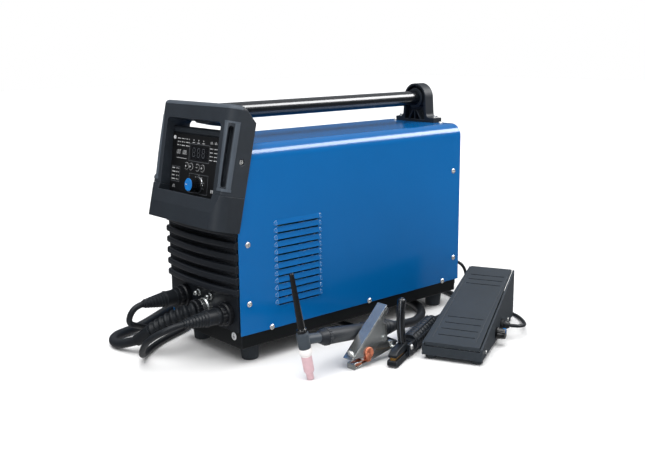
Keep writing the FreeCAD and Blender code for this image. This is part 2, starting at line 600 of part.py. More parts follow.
def make_torch_cup():
    """Ceramic gas cup, and the white insulating ring above it."""
    up = torch_axis()
    cup = [(3.6, 0), (5.6, 0), (5.6, 9), (8.1, 14), (8.3, 42.5), (4.5, 42.5), (4.5, 14), (3.6, 10)]
    ring = [(0, 42.5), (8.6, 42.5), (10.2, 44.5), (10.2, 50.5), (9.4, 52.5), (0, 52.5)]
    wire = rod(1.2, TORCH_TIP + up * 3, TORCH_TIP + up * 42.5)
    return [turned(cup, TORCH_TIP, up), fuse([turned(ring, TORCH_TIP, up), wire])]


def handle_axis():
    """Point on the torch head's axis where the handle's axis leaves it, and the direction."""
    start = TORCH_TIP + torch_axis() * 66
    along = HANDLE_END - start
    return start, along.normalize()


def make_torch_head():
    up = torch_axis()
    start, along = handle_axis()
    body = turned([(0, 52.5), (9.3, 52.5), (9.7, 55), (9.7, 76), (8.4, 79), (0, 79)], TORCH_TIP, up)
    return fuse([body, taper(8.2, 7.8, start, start + along * 40)])


def make_back_cap():
    profile = [(0, 79.02), (7.2, 79.02), (7.2, 84), (6.0, 86), (5.6, 96), (3.6, 174), (2.6, 176), (0, 176)]
    return turned(profile, TORCH_TIP, torch_axis())


def make_torch_handle():
    start, along = handle_axis()
    reach = (HANDLE_END - start).Length
    profile = [(7.9, 34), (9.4, 36), (12.9, 47), (13.2, 60), (12.4, 110), (12.4, reach - 14),
               (10.5, reach - 6), (9.2, reach), (0, reach), (0, 41), (7.9, 41)]
    outer = turned(profile, start, along)
    return outer.cut(taper(8.25, 7.85, start, start + along * 40.2))


# ---------------------------------------------------------------- earth clamp (X is its width)
def strip(points, half, thickness):
    """Sheet strip following (Y, Z) points at the clamp's mid-plane."""
    pieces = []
    for (ya, za), (yb, zb) in zip(points, points[1:]):
        run = V(0, yb - ya, zb - za)
        normal = V(0, -run.z, run.y).normalize() * thickness
        corner = V(CLAMP_X - half, ya, za)
        pieces.append(prism([corner, corner + run, corner + run + normal, corner + normal], V(2 * half, 0, 0)))
    return pieces


def cheek(points, x0, thickness):
    """Flat side plate of (Y, Z) points."""
    return prism([V(CLAMP_X + x0, y, z) for y, z in points], V(thickness, 0, 0))


def make_clamp_lower():
    """Lower jaw: base strip, two lugs for the pivot and a turned-down nose."""
    y, z = CLAMP_PIVOT
    base = strip([(124, 1.2), (150, 6.0), (212, 17.5)], 8, 2)
    lugs = [cheek([(160, 8), (y - 7, z + 3), (y, z + 8), (y + 7, z + 3), (206, 17)], x, 1.6) for x in (-8.0, 6.4)]
    nose = box((CLAMP_X - 8, CLAMP_X + 8), (122.5, 125.5), (0.1, 9))
    end, before = V(*EARTH_BACK[-1]), V(*EARTH_BACK[-2])
    sleeve = rod(6.2, end, end + (end - before).normalize() * 14)
    body = fuse(base + lugs + [nose, sleeve])
    return body.cut(rod(3.06, V(CLAMP_X - 20, y, z), V(CLAMP_X + 20, y, z)))


def make_clamp_upper():
    """Upper jaw and handle: bent strip with two cheeks outside the lower jaw's lugs."""
    y, z = CLAMP_PIVOT
    bar = strip([(194, 92), (117, 17)], 10.3, -2)
    cheeks = [cheek([(120, 20), (148, 46), (176, 73), (192, 60), (y + 8, z), (y, z - 8), (y - 8, z - 6),
                     (150, 19)], x, 1.5) for x in (-10.3, 8.8)]
    flanges = [cheek([(174, 71), (193, 89.5), (199, 84), (182, 64)], x, 1.5) for x in (-10.3, 8.8)]
    body = fuse(bar + cheeks + flanges)
    return body.cut(rod(3.06, V(CLAMP_X - 20, y, z), V(CLAMP_X + 20, y, z)))


def make_clamp_contacts():
    """Copper pad on the lower jaw and the round folded braid behind it."""
    pad = box((CLAMP_X - 7, CLAMP_X + 7), (126, 140), (6.3, 9.3))
    braid = pipe(8.2, 3.2, V(CLAMP_X - 5.5, 152, 17.6), V(CLAMP_X + 5.5, 152, 17.6))
    link = box((CLAMP_X - 5.5, CLAMP_X + 5.5), (138, 152), (8.9, 11.0))
    return fuse([pad, braid, link])


def make_clamp_spring():
    y, z = CLAMP_PIVOT
    return pipe(6.0, 3.4, V(CLAMP_X - 5.6, y, z), V(CLAMP_X + 5.6, y, z))


# ---------------------------------------------------------------- electrode holder (X along it, Z up)
def make_holder_body():
    """Lower jaw, pivot cheeks and ribbed handle."""
    z = 17.0
    jaw = prism([V(0, -8, 4), V(6, -8, 0.6), V(40, -8, 0.6), V(62, -8, 4), V(62, -8, 12), V(0, -8, 12)], V(0, 16, 0))
    jaw = rounded(jaw, 2.0, lambda e: is_along(e, V(0, 1, 0)) and e.BoundBox.XMax < 7)
    root = rounded(box((50, 80), (-12, 12), (4, 25)), 3, lambda e: is_along(e, V(1, 0, 0)))
    slot = box((40, 70), (-7.3, 7.3), (10, 40))
    profile = [(0, 78), (15.5, 78), (15.5, 84)]
    for k in range(9):
        s = 90 + 12 * k
        profile += [(14.2, s - 5), (14.2, s - 1), (15.2, s), (15.2, s + 4)]
    profile += [(12, 204), (8, HOLDER_LENGTH), (0, HOLDER_LENGTH)]
    grip = turned(profile, V(0, 0, z), V(1, 0, 0))
    body = fuse([jaw, root.cut(slot), grip])
    px, pz = HOLDER_PIVOT
    return placed(body.cut(rod(2.56, V(px, -20, pz), V(px, 20, pz))), HOLDER_PLACE)


def make_holder_lever():
    """Upper jaw with the curved squeeze lever that rises from it."""
    px, pz = HOLDER_PIVOT
    jaw = prism([V(1, -7, 16.5), V(45, -7, 14.5), V(66, -7, 14.5), V(66, -7, 24), V(50, -7, 29), V(14, -7, 27),
                 V(1, -7, 22)], V(0, 14, 0))
    inner = Part.Arc(V(56, -5.5, 25), V(45, -5.5, 66), V(52, -5.5, 106)).toShape()
    outer = Part.Arc(V(41, -5.5, 107), V(32, -5.5, 66), V(42, -5.5, 25)).toShape()
    top = Part.Arc(V(52, -5.5, 106), V(47, -5.5, 109), V(41, -5.5, 107)).toShape()
    foot = Part.makeLine(V(42, -5.5, 25), V(56, -5.5, 25))
    lever = Part.Face(Part.Wire([inner, top, outer, foot])).extrude(V(0, 11, 0))
    body = fuse([jaw, lever])
    return placed(body.cut(rod(2.56, V(px, -20, pz), V(px, 20, pz))), HOLDER_PLACE)


def make_holder_contact():
    """Brass jaw insert lying in the lower jaw."""
    insert = box((4, 48), (-4, 4), (12.02, 14.0))
    return placed(insert, HOLDER_PLACE)


# ---------------------------------------------------------------- foot pedal (Y along it, Z up)
def pedal_top(y):
    """Height of the treadle's upper face at rest."""
    return PEDAL_FRONT_Z + (PEDAL_REAR_Z - PEDAL_FRONT_Z) * y / PEDAL_LENGTH


def pedal_plan(inset, low, high, y0=0.0, y1=PEDAL_LENGTH):
    """Tapered prism with its sides pulled in by inset, between two heights."""
    halves = [PEDAL_HALF + (PEDAL_REAR_HALF - PEDAL_HALF) * y / PEDAL_LENGTH - inset for y in (y0, y1)]
    outline = [V(-halves[0], y0, low), V(halves[0], y0, low), V(halves[1], y1, low), V(-halves[1], y1, low)]
    return prism(outline, V(0, 0, high - low))


def under_slope(drop):
    """Everything below the treadle's upper face, lowered by drop."""
    y0, y1 = -10, PEDAL_LENGTH + 10
    outline = [V(-80, y0, -20), V(-80, y1, -20), V(-80, y1, pedal_top(y1) - drop), V(-80, y0, pedal_top(y0) - drop)]
    return prism(outline, V(160, 0, 0))


def make_pedal_base():
    """Open wedge: floor, tall sloping sides, and low front and rear walls."""
    body = pedal_plan(0, 8, 120).common(under_slope(2.5))
    body = body.cut(pedal_plan(3, 11, 130, 3, PEDAL_LENGTH - 3))
    body = body.cut(box((-46, 46), (-1, 4), (22.5, 60)))
    body = body.cut(box((-38.5, 38.5), (PEDAL_LENGTH - 4, PEDAL_LENGTH + 1), (38, 130)))
    y, z = PEDAL_PIVOT
    body = body.cut(rod(2.56, V(-60, y, z), V(60, y, z)))
    body = body.cut(rod(3.3, V(40, DIAL_Y, DIAL_Z), V(60, DIAL_Y, DIAL_Z)))
    body = body.cut(rod(5.05, V(40, PEDAL_GLAND_Y, PEDAL_GLAND_Z), V(60, PEDAL_GLAND_Y, PEDAL_GLAND_Z)))
    return placed(body, PEDAL_PLACE)


DIAL_Y, DIAL_Z, DIAL_X = 110.0, 22.0, 46.5
PEDAL_GLAND_Y, PEDAL_GLAND_Z, PEDAL_GLAND_X = 150.0, 25.0, 45.4


def make_treadle():
    """Sloping foot plate with cut ribs, a framed pad, a front skirt and two lugs on the pivot pin."""
    plate = pedal_plan(4.5, 0, 120, 1, 261).common(under_slope(0)).cut(under_slope(5))
    plate = plate.fuse(box((-44.5, 44.5), (1, 4), (24, pedal_top(1) - 0.5)))
    lean = FreeCAD.Rotation(V(1, 0, 0), math.degrees(math.atan2(PEDAL_REAR_Z - PEDAL_FRONT_Z, PEDAL_LENGTH)))
    grooves = []
    for y in TREADLE_GROOVES:
        groove = box((-31, 31), (-1.3, 1.3), (-1.2, 2))
        groove.Placement = FreeCAD.Placement(V(0, y, pedal_top(y)), lean)
        grooves.append(groove)
    for x in (-36, 36):
        groove = box((x - 0.9, x + 0.9), (18, 248), (-0.8, 2))
        groove.Placement = FreeCAD.Placement(V(0, 0, pedal_top(0)), lean)
        grooves.append(groove)
    plate = plate.cut(Part.makeCompound(grooves))
    y, z = PEDAL_PIVOT
    lugs = [box((x - 3, x + 3), (y - 4.5, y + 4.5), (z - 4.5, pedal_top(y) - 4)) for x in (-39, 39)]
    body = fuse([plate] + lugs)
    body = body.cut(rod(2.56, V(-60, y, z), V(60, y, z)))
    return placed(body, PEDAL_PLACE)


TREADLE_GROOVES = (26, 45, 64, 83, 198, 214, 230)


def make_pedal_spring():
    """Return spring between the floor and the treadle, as its outer tube."""
    start = V(0, 180, 11.05)
    end = V(0, 180, pedal_top(180) - 8)
    return placed(pipe(8, 6, start, end), PEDAL_PLACE)


def make_pedal_dial():
    """Current-limit dial on the right side wall."""
    profile = [(0, -4), (3.0, -4), (3.0, 0.4), (10, 0.4), (10, 3), (9, 4), (8.6, 15), (7.8, 16), (0, 16)]
    dial = turned(profile, V(DIAL_X, DIAL_Y, DIAL_Z), V(1, 0, 0))
    return placed(dial, PEDAL_PLACE)


def make_pedal_gland():
    base = V(PEDAL_GLAND_X, PEDAL_GLAND_Y, PEDAL_GLAND_Z)
    profile = [(0, -3.5), (5, -3.5), (5, 0.1), (9.5, 0.1), (9.5, 4), (8, 4), (8, 8), (PEDAL_CORD_R + 1.6, 14.6),
               (0, 14.6)]
    return placed(turned(profile, base, V(1, 0, 0)), PEDAL_PLACE)


def make_pins():
    """Pivot pins of the clamp, the holder and the pedal."""
    y, z = CLAMP_PIVOT
    clamp = turned([(0, 0), (5, 0), (5, 1.6), (3, 1.9), (3, 22.9), (5, 23.2), (5, 24.8), (0, 24.8)],
                   V(CLAMP_X - 12.4, y, z), V(1, 0, 0))
    px, pz = HOLDER_PIVOT
    holder = placed(rod(2.5, V(px, -12.5, pz), V(px, 12.5, pz)), HOLDER_PLACE)
    y, z = PEDAL_PIVOT
    pedal = placed(rod(2.5, V(-PEDAL_HALF + 0.4, y, z), V(PEDAL_HALF - 0.4, y, z)), PEDAL_PLACE)
    return [clamp, holder, pedal]


# ---------------------------------------------------------------- cords
def cord_path(points, name, radius):
    """Straight runs joined by tangent arcs; prints the sizes that matter."""
    points = [V(*p) for p in points]
    edges, at, tightest, length = [], points[0], 1e9, 0.0
    for before, corner, after in zip(points, points[1:], points[2:]):
        a, b = (corner - before), (after - corner)
        shorter = min(a.Length, b.Length)
        half = a.getAngle(b) / 2
        arc_radius = 0.45 * shorter / math.tan(half)
        a.normalize()
        b.normalize()
        start, end = corner - a * 0.45 * shorter, corner + b * 0.45 * shorter
        middle = corner + (b - a).normalize() * (arc_radius / math.cos(half) - arc_radius)
        edges.append(Part.LineSegment(at, start).toShape())
        edges.append(Part.Arc(start, middle, end).toShape())
        at, tightest = end, min(tightest, arc_radius)
    edges.append(Part.LineSegment(at, points[-1]).toShape())
    length = sum(e.Length for e in edges)
    print("%-18s tube %.0f mm, tightest radius %.1f mm (%.1f diameters)"
          % (name, length, tightest, tightest / (2 * radius)))
    return Part.Wire(edges), length


def cord_tube(points, radius, name):
    """Round tube along a route, with its volume checked against section times length."""
    path, length = cord_path(points, name, radius)
    start, towards = V(*points[0]), V(*points[1]) - V(*points[0])
    section = Part.Wire(Part.makeCircle(radius, start, towards))
    tube = path.makePipeShell([section], True, False)
    tube = tube if isinstance(tube, Part.Solid) else Part.Solid(tube)
    expected = math.pi * radius ** 2 * length
    print("%-18s volume ratio %.4f" % (name, tube.Volume / expected))
    return tube


def coil(centre, inner, outer, low, high):
    """Outer shape of a wound coil lying flat."""
    return pipe(outer, inner, V(centre[0], centre[1], low), V(centre[0], centre[1], high))


EARTH_COIL = (-190.0, 205.0)
TORCH_COIL = (-230.0, 410.0)
HOLDER_COIL = (-170.0, 640.0)
PEDAL_COIL = (110.0, 590.0)

EARTH_OUT = [(70, -87, 84), (69.3, -99, 83), (65, -110, 79.5), (56, -118, 73.5), (42, -123.5, 65),
             (23, -126, 51.5), (3, -122, 34.5), (-17, -113, 18.5), (-38, -98, 8.5), (-61, -77, 5.4),
             (-84, -45, 5.3), (-103, -5, 5.4), (-122, 40, 5.3), (-155, 78, 5.4), (-200, 108, 5.3),
             (-233, 143, 5.4), (-244.5, 176, 5.3)]
EARTH_BACK = [(-160, 261, 5.3), (-130, 261, 5.4), (-90, 257, 5.3), (-30, 263, 5.4), (35, 257, 5.3),
              (90, 262, 5.4), (133, 260.5, 5.3), (158, 257, 5.5), (179, 252, 6.3), (199.5, 243.5, 10.5),
              (213.5, 230.5, 16.8), (220, 212, 21.5)]
TORCH_OUT = [(-73, -90, 23), (-91, -98.5, 16), (-111, -103.5, 10.5), (-131, -102.5, 8.5),
             (-149, -94, 8.4), (-162, -79, 8.3), (-168, -58, 8.5), (-170, -34, 10), (-172, -5, 17.5),
             (-179, 29, 26), (-193, 66, 27.5),
             (-214, 99, 20), (-240, 128, 10.5), (-263, 162, 8.3), (-279, 205, 8.4), (-290, 255, 8.3),
             (-304, 305, 8.4), (-314, 345, 8.3), (-317.5, 368, 8.4)]
TORCH_BACK = [(-190, 496, 8.3), (-165, 489, 8.4), (-130, 472, 8.3), (-75, 449, 8.4), (-5, 453, 8.3),
              (55, 443, 8.4), (98, 420, 8.3), (128, 386, 8.8), (149, 347, 12.5), (163.5, 313, 20),
              (174, 286, 27), (181.6, 258.6, 31.6)]
HOLDER_OUT = [(-52, -87, 90), (-51.5, -96.5, 88.6), (-53, -104.3, 83.2), (-56.5, -108.6, 74),
              (-61, -108.8, 64), (-66.5, -103, 56), (-74, -93, 50), (-84, -78.5, 43.5), (-96, -58, 33),
              (-108, -33, 19), (-121, -4, 8), (-142, 25, 5.4), (-174, 50, 5.3), (-216, 73, 5.4),
              (-263, 103, 5.3), (-308, 148, 5.4), (-340, 212, 5.3), (-357, 288, 5.4), (-361, 368, 5.3),
              (-352, 448, 5.4), (-325, 516, 5.3), (-284, 562, 5.4), (-240, 583, 5.3), (-206, 586, 5.4)]
HOLDER_BACK = [(-134, 587, 14), (-104, 582, 9.5), (-60, 571, 5.4), (-2, 563, 5.3), (58, 553, 5.4),
               (106, 531, 5.3), (134, 490, 5.5), (148, 446, 7.0), (160, 405, 12), (176.2, 366.6, 17)]
PEDAL_OUT = [(302.0, 421.3, 25), (310, 425, 24.8), (314.5, 433, 24), (314.5, 443, 22.8), (309.5, 454, 20.2),
             (299, 468.5, 16.3), (285, 486, 11.5), (268.5, 505, 7), (251, 521.5, 4.2), (231.5, 533, 3.4),
             (210, 539, 3.3), (185, 542, 3.4), (160, 545.5, 3.3), (138, 547.5, 3.4), (122, 548.3, 3.3)]
PEDAL_BACK = [(130, 549, 9.2), (117, 548.2, 9.4), (106, 548.6, 13), (100, 549.5, 23), (97.6, 551, 37),
              (95, 552.5, 51), (91, 551.5, 64), (86.5, 545.5, 74.5), (80.3, 534.3, 81)]
MAINS_OUT = [(40, 534.3, 95), (39.5, 549, 93.5), (37, 563, 88.5), (32.5, 575, 80), (26.5, 585.5, 68.5),
             (19, 593.5, 55.5), (9.5, 599, 42), (-2.5, 603, 29), (-17.5, 605.5, 18), (-35, 606, 11),
             (-54, 603, 10), (-73, 598.5, 14.5), (-92, 593.5, 21.5), (-111, 589, 27.5), (-131, 586.3, 30.4)]
MAINS_BACK = [(-229, 652, 30), (-234.4, 679.5, 28.5), (-249.7, 699.4, 25), (-272, 711, 20.5),
              (-297.1, 712.1, 16.5), (-320.3, 702.5, 13.5), (-337.2, 684, 11.6), (-344.5, 662, 11.4),
              (-345.5, 644, 12)]
TORCH_BOOT = [(10, -20, 82), (5, -38, 79), (-12, -55, 69), (-35, -70, 52), (-55, -81, 37), (-73, -90, 23)]


def make_torch_boot():
    """Corrugated bend relief behind the torch connector."""
    core = cord_tube(TORCH_BOOT, 10.0, "torch_boot")
    nose = rod(10.2, V(10, 2, 82), V(10, -20.5, 82))
    collars = []
    points = [V(*p) for p in TORCH_BOOT]
    for a, b in zip(points[1:], points[2:]):
        run = b - a
        for share in (0.3, 0.7):
            middle = a + run * share
            along = V(run).normalize()
            collars.append(rod(12.6, middle - along * 2, middle + along * 2))
    return fuse([core, nose] + collars)


def make_mains_plug():
    """Generic three-pin moulded plug lying beside its coil."""
    body = rounded(box((-14, 14), (-10, 30), (0.2, 24)), 5, lambda e: is_along(e, V(0, 1, 0)))
    relief = taper(8, 6, V(0, 30, 12), V(0, 52, 12))
    pins = [box((x - 1.6, x + 1.6), (-26, -10), (z - 3, z + 3)) for x, z in ((-7, 9), (7, 9), (0, 17))]
    plug = fuse([body, relief] + pins)
    return placed(plug, FreeCAD.Placement(PLUG_AT, FreeCAD.Rotation()))


PLUG_AT = V(-345.5, 592, 0)


def save_cords():
    save("torch_boot", make_torch_boot())
    save("earth_lead", [cord_tube(EARTH_OUT, LEAD_R, "earth_lead"), cord_tube(EARTH_BACK, LEAD_R, "earth_lead tail")])
    save("earth_lead_coil", coil(EARTH_COIL, 38, 71, 0.1, 20.1))
    save("torch_hose", [cord_tube(TORCH_OUT, HOSE_R, "torch_hose"), cord_tube(TORCH_BACK, HOSE_R, "torch_hose tail")])
    save("torch_hose_coil", coil(TORCH_COIL, 62, 110, 0.1, 32.1))
    save("holder_lead", [cord_tube(HOLDER_OUT, LEAD_R, "holder_lead"),
                         cord_tube(HOLDER_BACK, LEAD_R, "holder_lead tail")])
    save("holder_lead_coil", coil(HOLDER_COIL, 40, 70, 0.1, 20.1))
    save("pedal_cable", [cord_tube(PEDAL_OUT, PEDAL_CORD_R, "pedal_cable"),
                         cord_tube(PEDAL_BACK, PEDAL_CORD_R, "pedal_cable tail")])
    save("pedal_cable_coil", coil(PEDAL_COIL, 21, 45, 0.1, 12.4))
    save("mains_cable", [cord_tube(MAINS_OUT, LEAD_R, "mains_cable"),
                         cord_tube(MAINS_BACK, LEAD_R, "mains_cable tail")])
    save("mains_cable_coil", coil(HOLDER_COIL, 40, 70, 20.4, 40.4))
    save("mains_plug", make_mains_plug())


# ---------------------------------------------------------------- all nodes
def main():
    os.makedirs("parts", exist_ok=True)
    save("base_tray", make_tray())
    save("rubber_feet", make_feet())
    save("cover_shell", make_cover())
    roof = [screw(V(x, y, COVER_TOP), V(0, 0, 1)) for x, y in ROOF_SCREWS]
    save("case_screws", [screw(p, d) for p, d in screw_points()] + roof + make_cage_screws())
    save("front_panel", make_front_panel())
    save("output_sockets", make_output_sockets())
    save("torch_socket", make_torch_socket())
    save("lead_plugs", make_lead_plugs())
    save("cage_frame", make_cage_frame())
    save("cage_apron", make_apron())
    save("control_housing", make_housing())
    save("control_fascia", make_fascia())
    save("display_window", make_screen())
    save("encoder_knob", make_knob())
    for number, x in enumerate(KEY_X, 1):
        save("panel_key_%d" % number, make_key(x))
    save("control_board", make_control_board())
    save("handle_tube", make_tube())
    save("handle_bracket", make_bracket())
    save("rear_panel", make_rear_panel())
    save("fan_frame", make_fan_frame())
    save("fan_rotor", make_fan_rotor())
    save("power_switch_body", make_switch_body())
    save("power_switch_rocker", make_rocker())
    save("cable_glands", make_glands() + [make_pedal_gland()])
    save("power_board", make_power_board())
    save("heatsinks", make_heatsinks())
    save("transformer", make_transformer())
    save("bus_capacitors", make_capacitors())
    save("gas_valve", make_gas_valve())
    save("torch_cup", make_torch_cup())
    save("torch_head", make_torch_head())
    save("torch_back_cap", make_back_cap())
    save("torch_handle", make_torch_handle())
    save("clamp_lower_jaw", make_clamp_lower())
    save("clamp_upper_jaw", make_clamp_upper())
    save("clamp_contacts", make_clamp_contacts())
    save("clamp_spring", make_clamp_spring())
    save("holder_body", make_holder_body())
    save("holder_lever", make_holder_lever())
    save("holder_contact", make_holder_contact())
    save("pedal_base", make_pedal_base())
    save("pedal_treadle", make_treadle())
    save("pedal_spring", make_pedal_spring())
    save("pedal_dial", make_pedal_dial())
    save("pivot_pins", make_pins())
    save_cords()


main()
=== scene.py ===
import json
from math import copysign, cos, pi, radians, sin, sqrt

import bmesh
import bpy
from mathutils import Matrix, Vector


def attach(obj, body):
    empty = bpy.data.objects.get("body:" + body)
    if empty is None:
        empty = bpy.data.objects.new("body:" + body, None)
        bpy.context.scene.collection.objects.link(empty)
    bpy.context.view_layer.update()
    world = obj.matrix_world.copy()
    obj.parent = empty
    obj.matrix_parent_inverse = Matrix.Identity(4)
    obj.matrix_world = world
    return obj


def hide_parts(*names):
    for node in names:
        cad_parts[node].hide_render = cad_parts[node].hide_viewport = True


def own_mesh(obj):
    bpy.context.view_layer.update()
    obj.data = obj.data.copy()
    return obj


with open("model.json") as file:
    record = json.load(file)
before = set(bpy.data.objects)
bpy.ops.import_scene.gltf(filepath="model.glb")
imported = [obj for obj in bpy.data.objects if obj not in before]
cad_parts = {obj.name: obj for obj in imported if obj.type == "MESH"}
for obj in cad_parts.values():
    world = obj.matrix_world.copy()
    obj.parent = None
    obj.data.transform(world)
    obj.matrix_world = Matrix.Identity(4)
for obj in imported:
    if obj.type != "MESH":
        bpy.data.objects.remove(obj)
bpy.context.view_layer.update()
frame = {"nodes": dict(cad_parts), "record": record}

# A portable TIG welding machine with its torch, earth clamp, electrode holder and foot pedal.
# Sizes are in millimetres in the machine's own frame: X across it, Y from its front face to its
# rear, Z up from the floor. at() turns them into the object's frame in metres.
MM = 0.001
ORIGIN = Vector((125.4, 218.1, 0.0))
NODES = frame["nodes"]
RIGHT, OUT, REAR, UP = (1, 0, 0), (0, -1, 0), (0, 1, 0), (0, 0, 1)  # OUT is out of the front


def at(x, y, z):
    """Machine frame in millimetres to the object's frame in metres."""
    return (Vector((x, y, z)) - ORIGIN) * MM


def local(place, lean=0.0, turn=0.0):
    """Converter from the millimetres of a leaning or turned sub-assembly."""
    matrix = Matrix.Translation(place)
    matrix @= Matrix.Rotation(radians(turn), 4, "Z") @ Matrix.Rotation(radians(lean), 4, "X")
    return lambda x, y, z: (matrix @ Vector((x, y, z)) - ORIGIN) * MM


fascia = local((0, -11.4, 268.3), lean=-8.1)  # -Y is out of the fascia, Z up along it
cage = local((0, 0, 219.5), lean=-12.9)
holder = local((264, 172, 0), turn=114)  # X along the electrode holder
pedal = local((311, 260, 0), turn=25)  # Y along the pedal


def new_object(name, data):
    obj = bpy.data.objects.new(name, data)
    bpy.context.scene.collection.objects.link(obj)
    return obj


def pose_of(place, right, up, back):
    """Matrix of a camera or a light from its place and its three axes."""
    return Matrix.Translation(place) @ Matrix((right, up, back)).transposed().to_4x4()


# ------------------------------ materials
def srgb(red, green, blue):
    """Screen colour, 0 to 255, as the linear colour that shaders take."""
    def linear(c):
        c /= 255
        return c / 12.92 if c <= 0.04045 else ((c + 0.055) / 1.055) ** 2.4
    return (linear(red), linear(green), linear(blue), 1.0)


def mix(a, b, share):
    """Colour a share of the way from a to b."""
    return tuple(p + (q - p) * share for p, q in zip(a[:3], b[:3])) + (1.0,)


FINISH = {}


def add_ramp(tree, source, *stops):
    """Colours along a value, from (position, colour) stops: first, last, then any between them."""
    ramp = tree.nodes.new("ShaderNodeValToRGB")
    for element, (position, colour) in zip(ramp.color_ramp.elements, stops):
        element.position, element.color = position, colour
    for position, colour in stops[2:]:
        ramp.color_ramp.elements.new(position).color = colour
    tree.links.new(source, ramp.inputs["Fac"])
    return ramp.outputs["Color"]


def add_choice(tree, factor, below, above):
    """Mix of two colours by a factor; above may be a socket or a plain colour."""
    choice = tree.nodes.new("ShaderNodeMix")
    choice.data_type = "RGBA"
    tree.links.new(factor, choice.inputs["Factor"])
    tree.links.new(below, choice.inputs["A"])
    if isinstance(above, tuple):
        choice.inputs["B"].default_value = above
    else:
        tree.links.new(above, choice.inputs["B"])
    return choice.outputs["Result"]


def finish(name, colour, rough, metal=0.0, grain=0.35, grain_size=0.8, vary=0.10, patch=40.0,
           edge_highlight=None, edge_highlight_share=0.5, bevel=0.5, coat=0.0, coat_rough=0.1, specular=0.3, stretch=None,
           rough_vary=0.12):
    """Procedural finish: cloudy colour, grained bump, uneven roughness and lighter edges, which are a painted
    highlight.

    grain_size and patch are the sizes in millimetres of the surface grain and of the colour clouds.
    """
    m = bpy.data.materials.new(name)
    m.use_nodes = True
    nodes, links = m.node_tree.nodes, m.node_tree.links
    shader = nodes["Principled BSDF"]
    shader.inputs["Metallic"].default_value = metal
    shader.inputs["Coat Weight"].default_value = coat
    shader.inputs["Coat Roughness"].default_value = coat_rough
    shader.inputs["Specular IOR Level"].default_value = specular
    place = nodes.new("ShaderNodeTexCoord").outputs["Object"]
    if stretch:
        mapping = nodes.new("ShaderNodeMapping")
        mapping.inputs["Scale"].default_value = stretch
        links.new(place, mapping.inputs["Vector"])
        place = mapping.outputs["Vector"]

    def noise(size, detail):
        n = nodes.new("ShaderNodeTexNoise")
        n.inputs["Scale"].default_value = 1000.0 / size
        n.inputs["Detail"].default_value = detail
        links.new(place, n.inputs["Vector"])
        return n.outputs["Fac"]

    clouds = noise(patch, 3.0)
    fine = noise(grain_size, 4.0)
    dark = mix(colour, (0, 0, 0), vary)
    light = tuple(min(1.0, c * (1 + vary * 0.6)) for c in colour[:3]) + (1.0,)
    tint = add_ramp(m.node_tree, clouds, (0.3, dark), (0.7, light))
    smooth = nodes.new("ShaderNodeBevel")
    smooth.samples = 4
    smooth.inputs["Radius"].default_value = bevel * MM
    bump = nodes.new("ShaderNodeBump")
    bump.inputs["Strength"].default_value = grain
    bump.inputs["Distance"].default_value = grain_size * 0.15 * MM
    links.new(fine, bump.inputs["Height"])
    links.new(smooth.outputs["Normal"], bump.inputs["Normal"])
    links.new(bump.outputs["Normal"], shader.inputs["Normal"])
    # painted highlight: a lighter colour mixed in along edges, where the smoothed normal turns away from the
    # true one
    if edge_highlight:
        geometry = nodes.new("ShaderNodeNewGeometry")
        lean = nodes.new("ShaderNodeVectorMath")
        lean.operation = "DOT_PRODUCT"
        links.new(smooth.outputs["Normal"], lean.inputs[0])
        links.new(geometry.outputs["Normal"], lean.inputs[1])
        highlight_mask = add_ramp(m.node_tree, lean.outputs["Value"], (0.86, (edge_highlight_share,) * 3 + (1,)),
                        (0.995, (0, 0, 0, 1)))
        tint = add_choice(m.node_tree, highlight_mask, tint, edge_highlight)
    links.new(tint, shader.inputs["Base Color"])
    spread = nodes.new("ShaderNodeMapRange")
    spread.inputs["To Min"].default_value = max(0.03, rough - rough_vary / 2)
    spread.inputs["To Max"].default_value = min(1.0, rough + rough_vary / 2)
    links.new(noise(patch * 0.25, 4.0), spread.inputs["Value"])
    links.new(spread.outputs["Result"], shader.inputs["Roughness"])
    FINISH[name] = m
    return m


# grey of the painted highlight along edges; every edge colour given to a finish below is a painted highlight
GREY_EDGE_HIGHLIGHT = srgb(96, 104, 114)

# glossier blue for the louvre hoods' ends; its near-white edge colour is a painted highlight
finish("louvre_gloss_painted_glint", srgb(16, 106, 172), 0.1, grain=0.05, vary=0.04, patch=20, edge_highlight=srgb(196, 220, 240),
       edge_highlight_share=0.85, bevel=1.1, specular=0.5, coat=0.5)
finish("cover_paint", srgb(0, 98, 166), 0.18, grain=0.05, grain_size=1.6, vary=0.04, patch=160,
       edge_highlight=srgb(66, 146, 204), specular=0.42, bevel=0.8, rough_vary=0.04)
finish("tray_paint", srgb(9, 13, 15), 0.36, grain=0.3, edge_highlight=GREY_EDGE_HIGHLIGHT, bevel=0.8)
finish("foot_rubber", srgb(42, 48, 54), 0.62, grain=0.3, edge_highlight=GREY_EDGE_HIGHLIGHT, edge_highlight_share=0.25)
finish("screw_steel", srgb(226, 226, 224), 0.24, metal=0.7, grain=0.15, vary=0.2, patch=5)
# lighter copy of the guard frame's grey: a painted highlight for its rolled top and its slot beads
finish("guard_painted_highlight", srgb(74, 82, 91), 0.42, grain=0.5, grain_size=0.7, edge_highlight=GREY_EDGE_HIGHLIGHT, edge_highlight_share=0.3,
       bevel=0.8)
finish("front_moulding", srgb(24, 28, 34), 0.36, grain=0.45, grain_size=0.7, edge_highlight=srgb(70, 77, 86),
       edge_highlight_share=0.35, bevel=0.8)
finish("guard_moulding", srgb(40, 46, 53), 0.5, grain=0.5, grain_size=0.7, edge_highlight=GREY_EDGE_HIGHLIGHT, edge_highlight_share=0.3,
       bevel=1.6)
finish("apron_moulding", srgb(34, 40, 47), 0.5, grain=0.5, grain_size=0.7, edge_highlight=GREY_EDGE_HIGHLIGHT, edge_highlight_share=0.3,
       bevel=1.4)
finish("fascia_plastic", srgb(16, 17, 19), 0.45, grain=0.25, grain_size=0.5, vary=0.06)
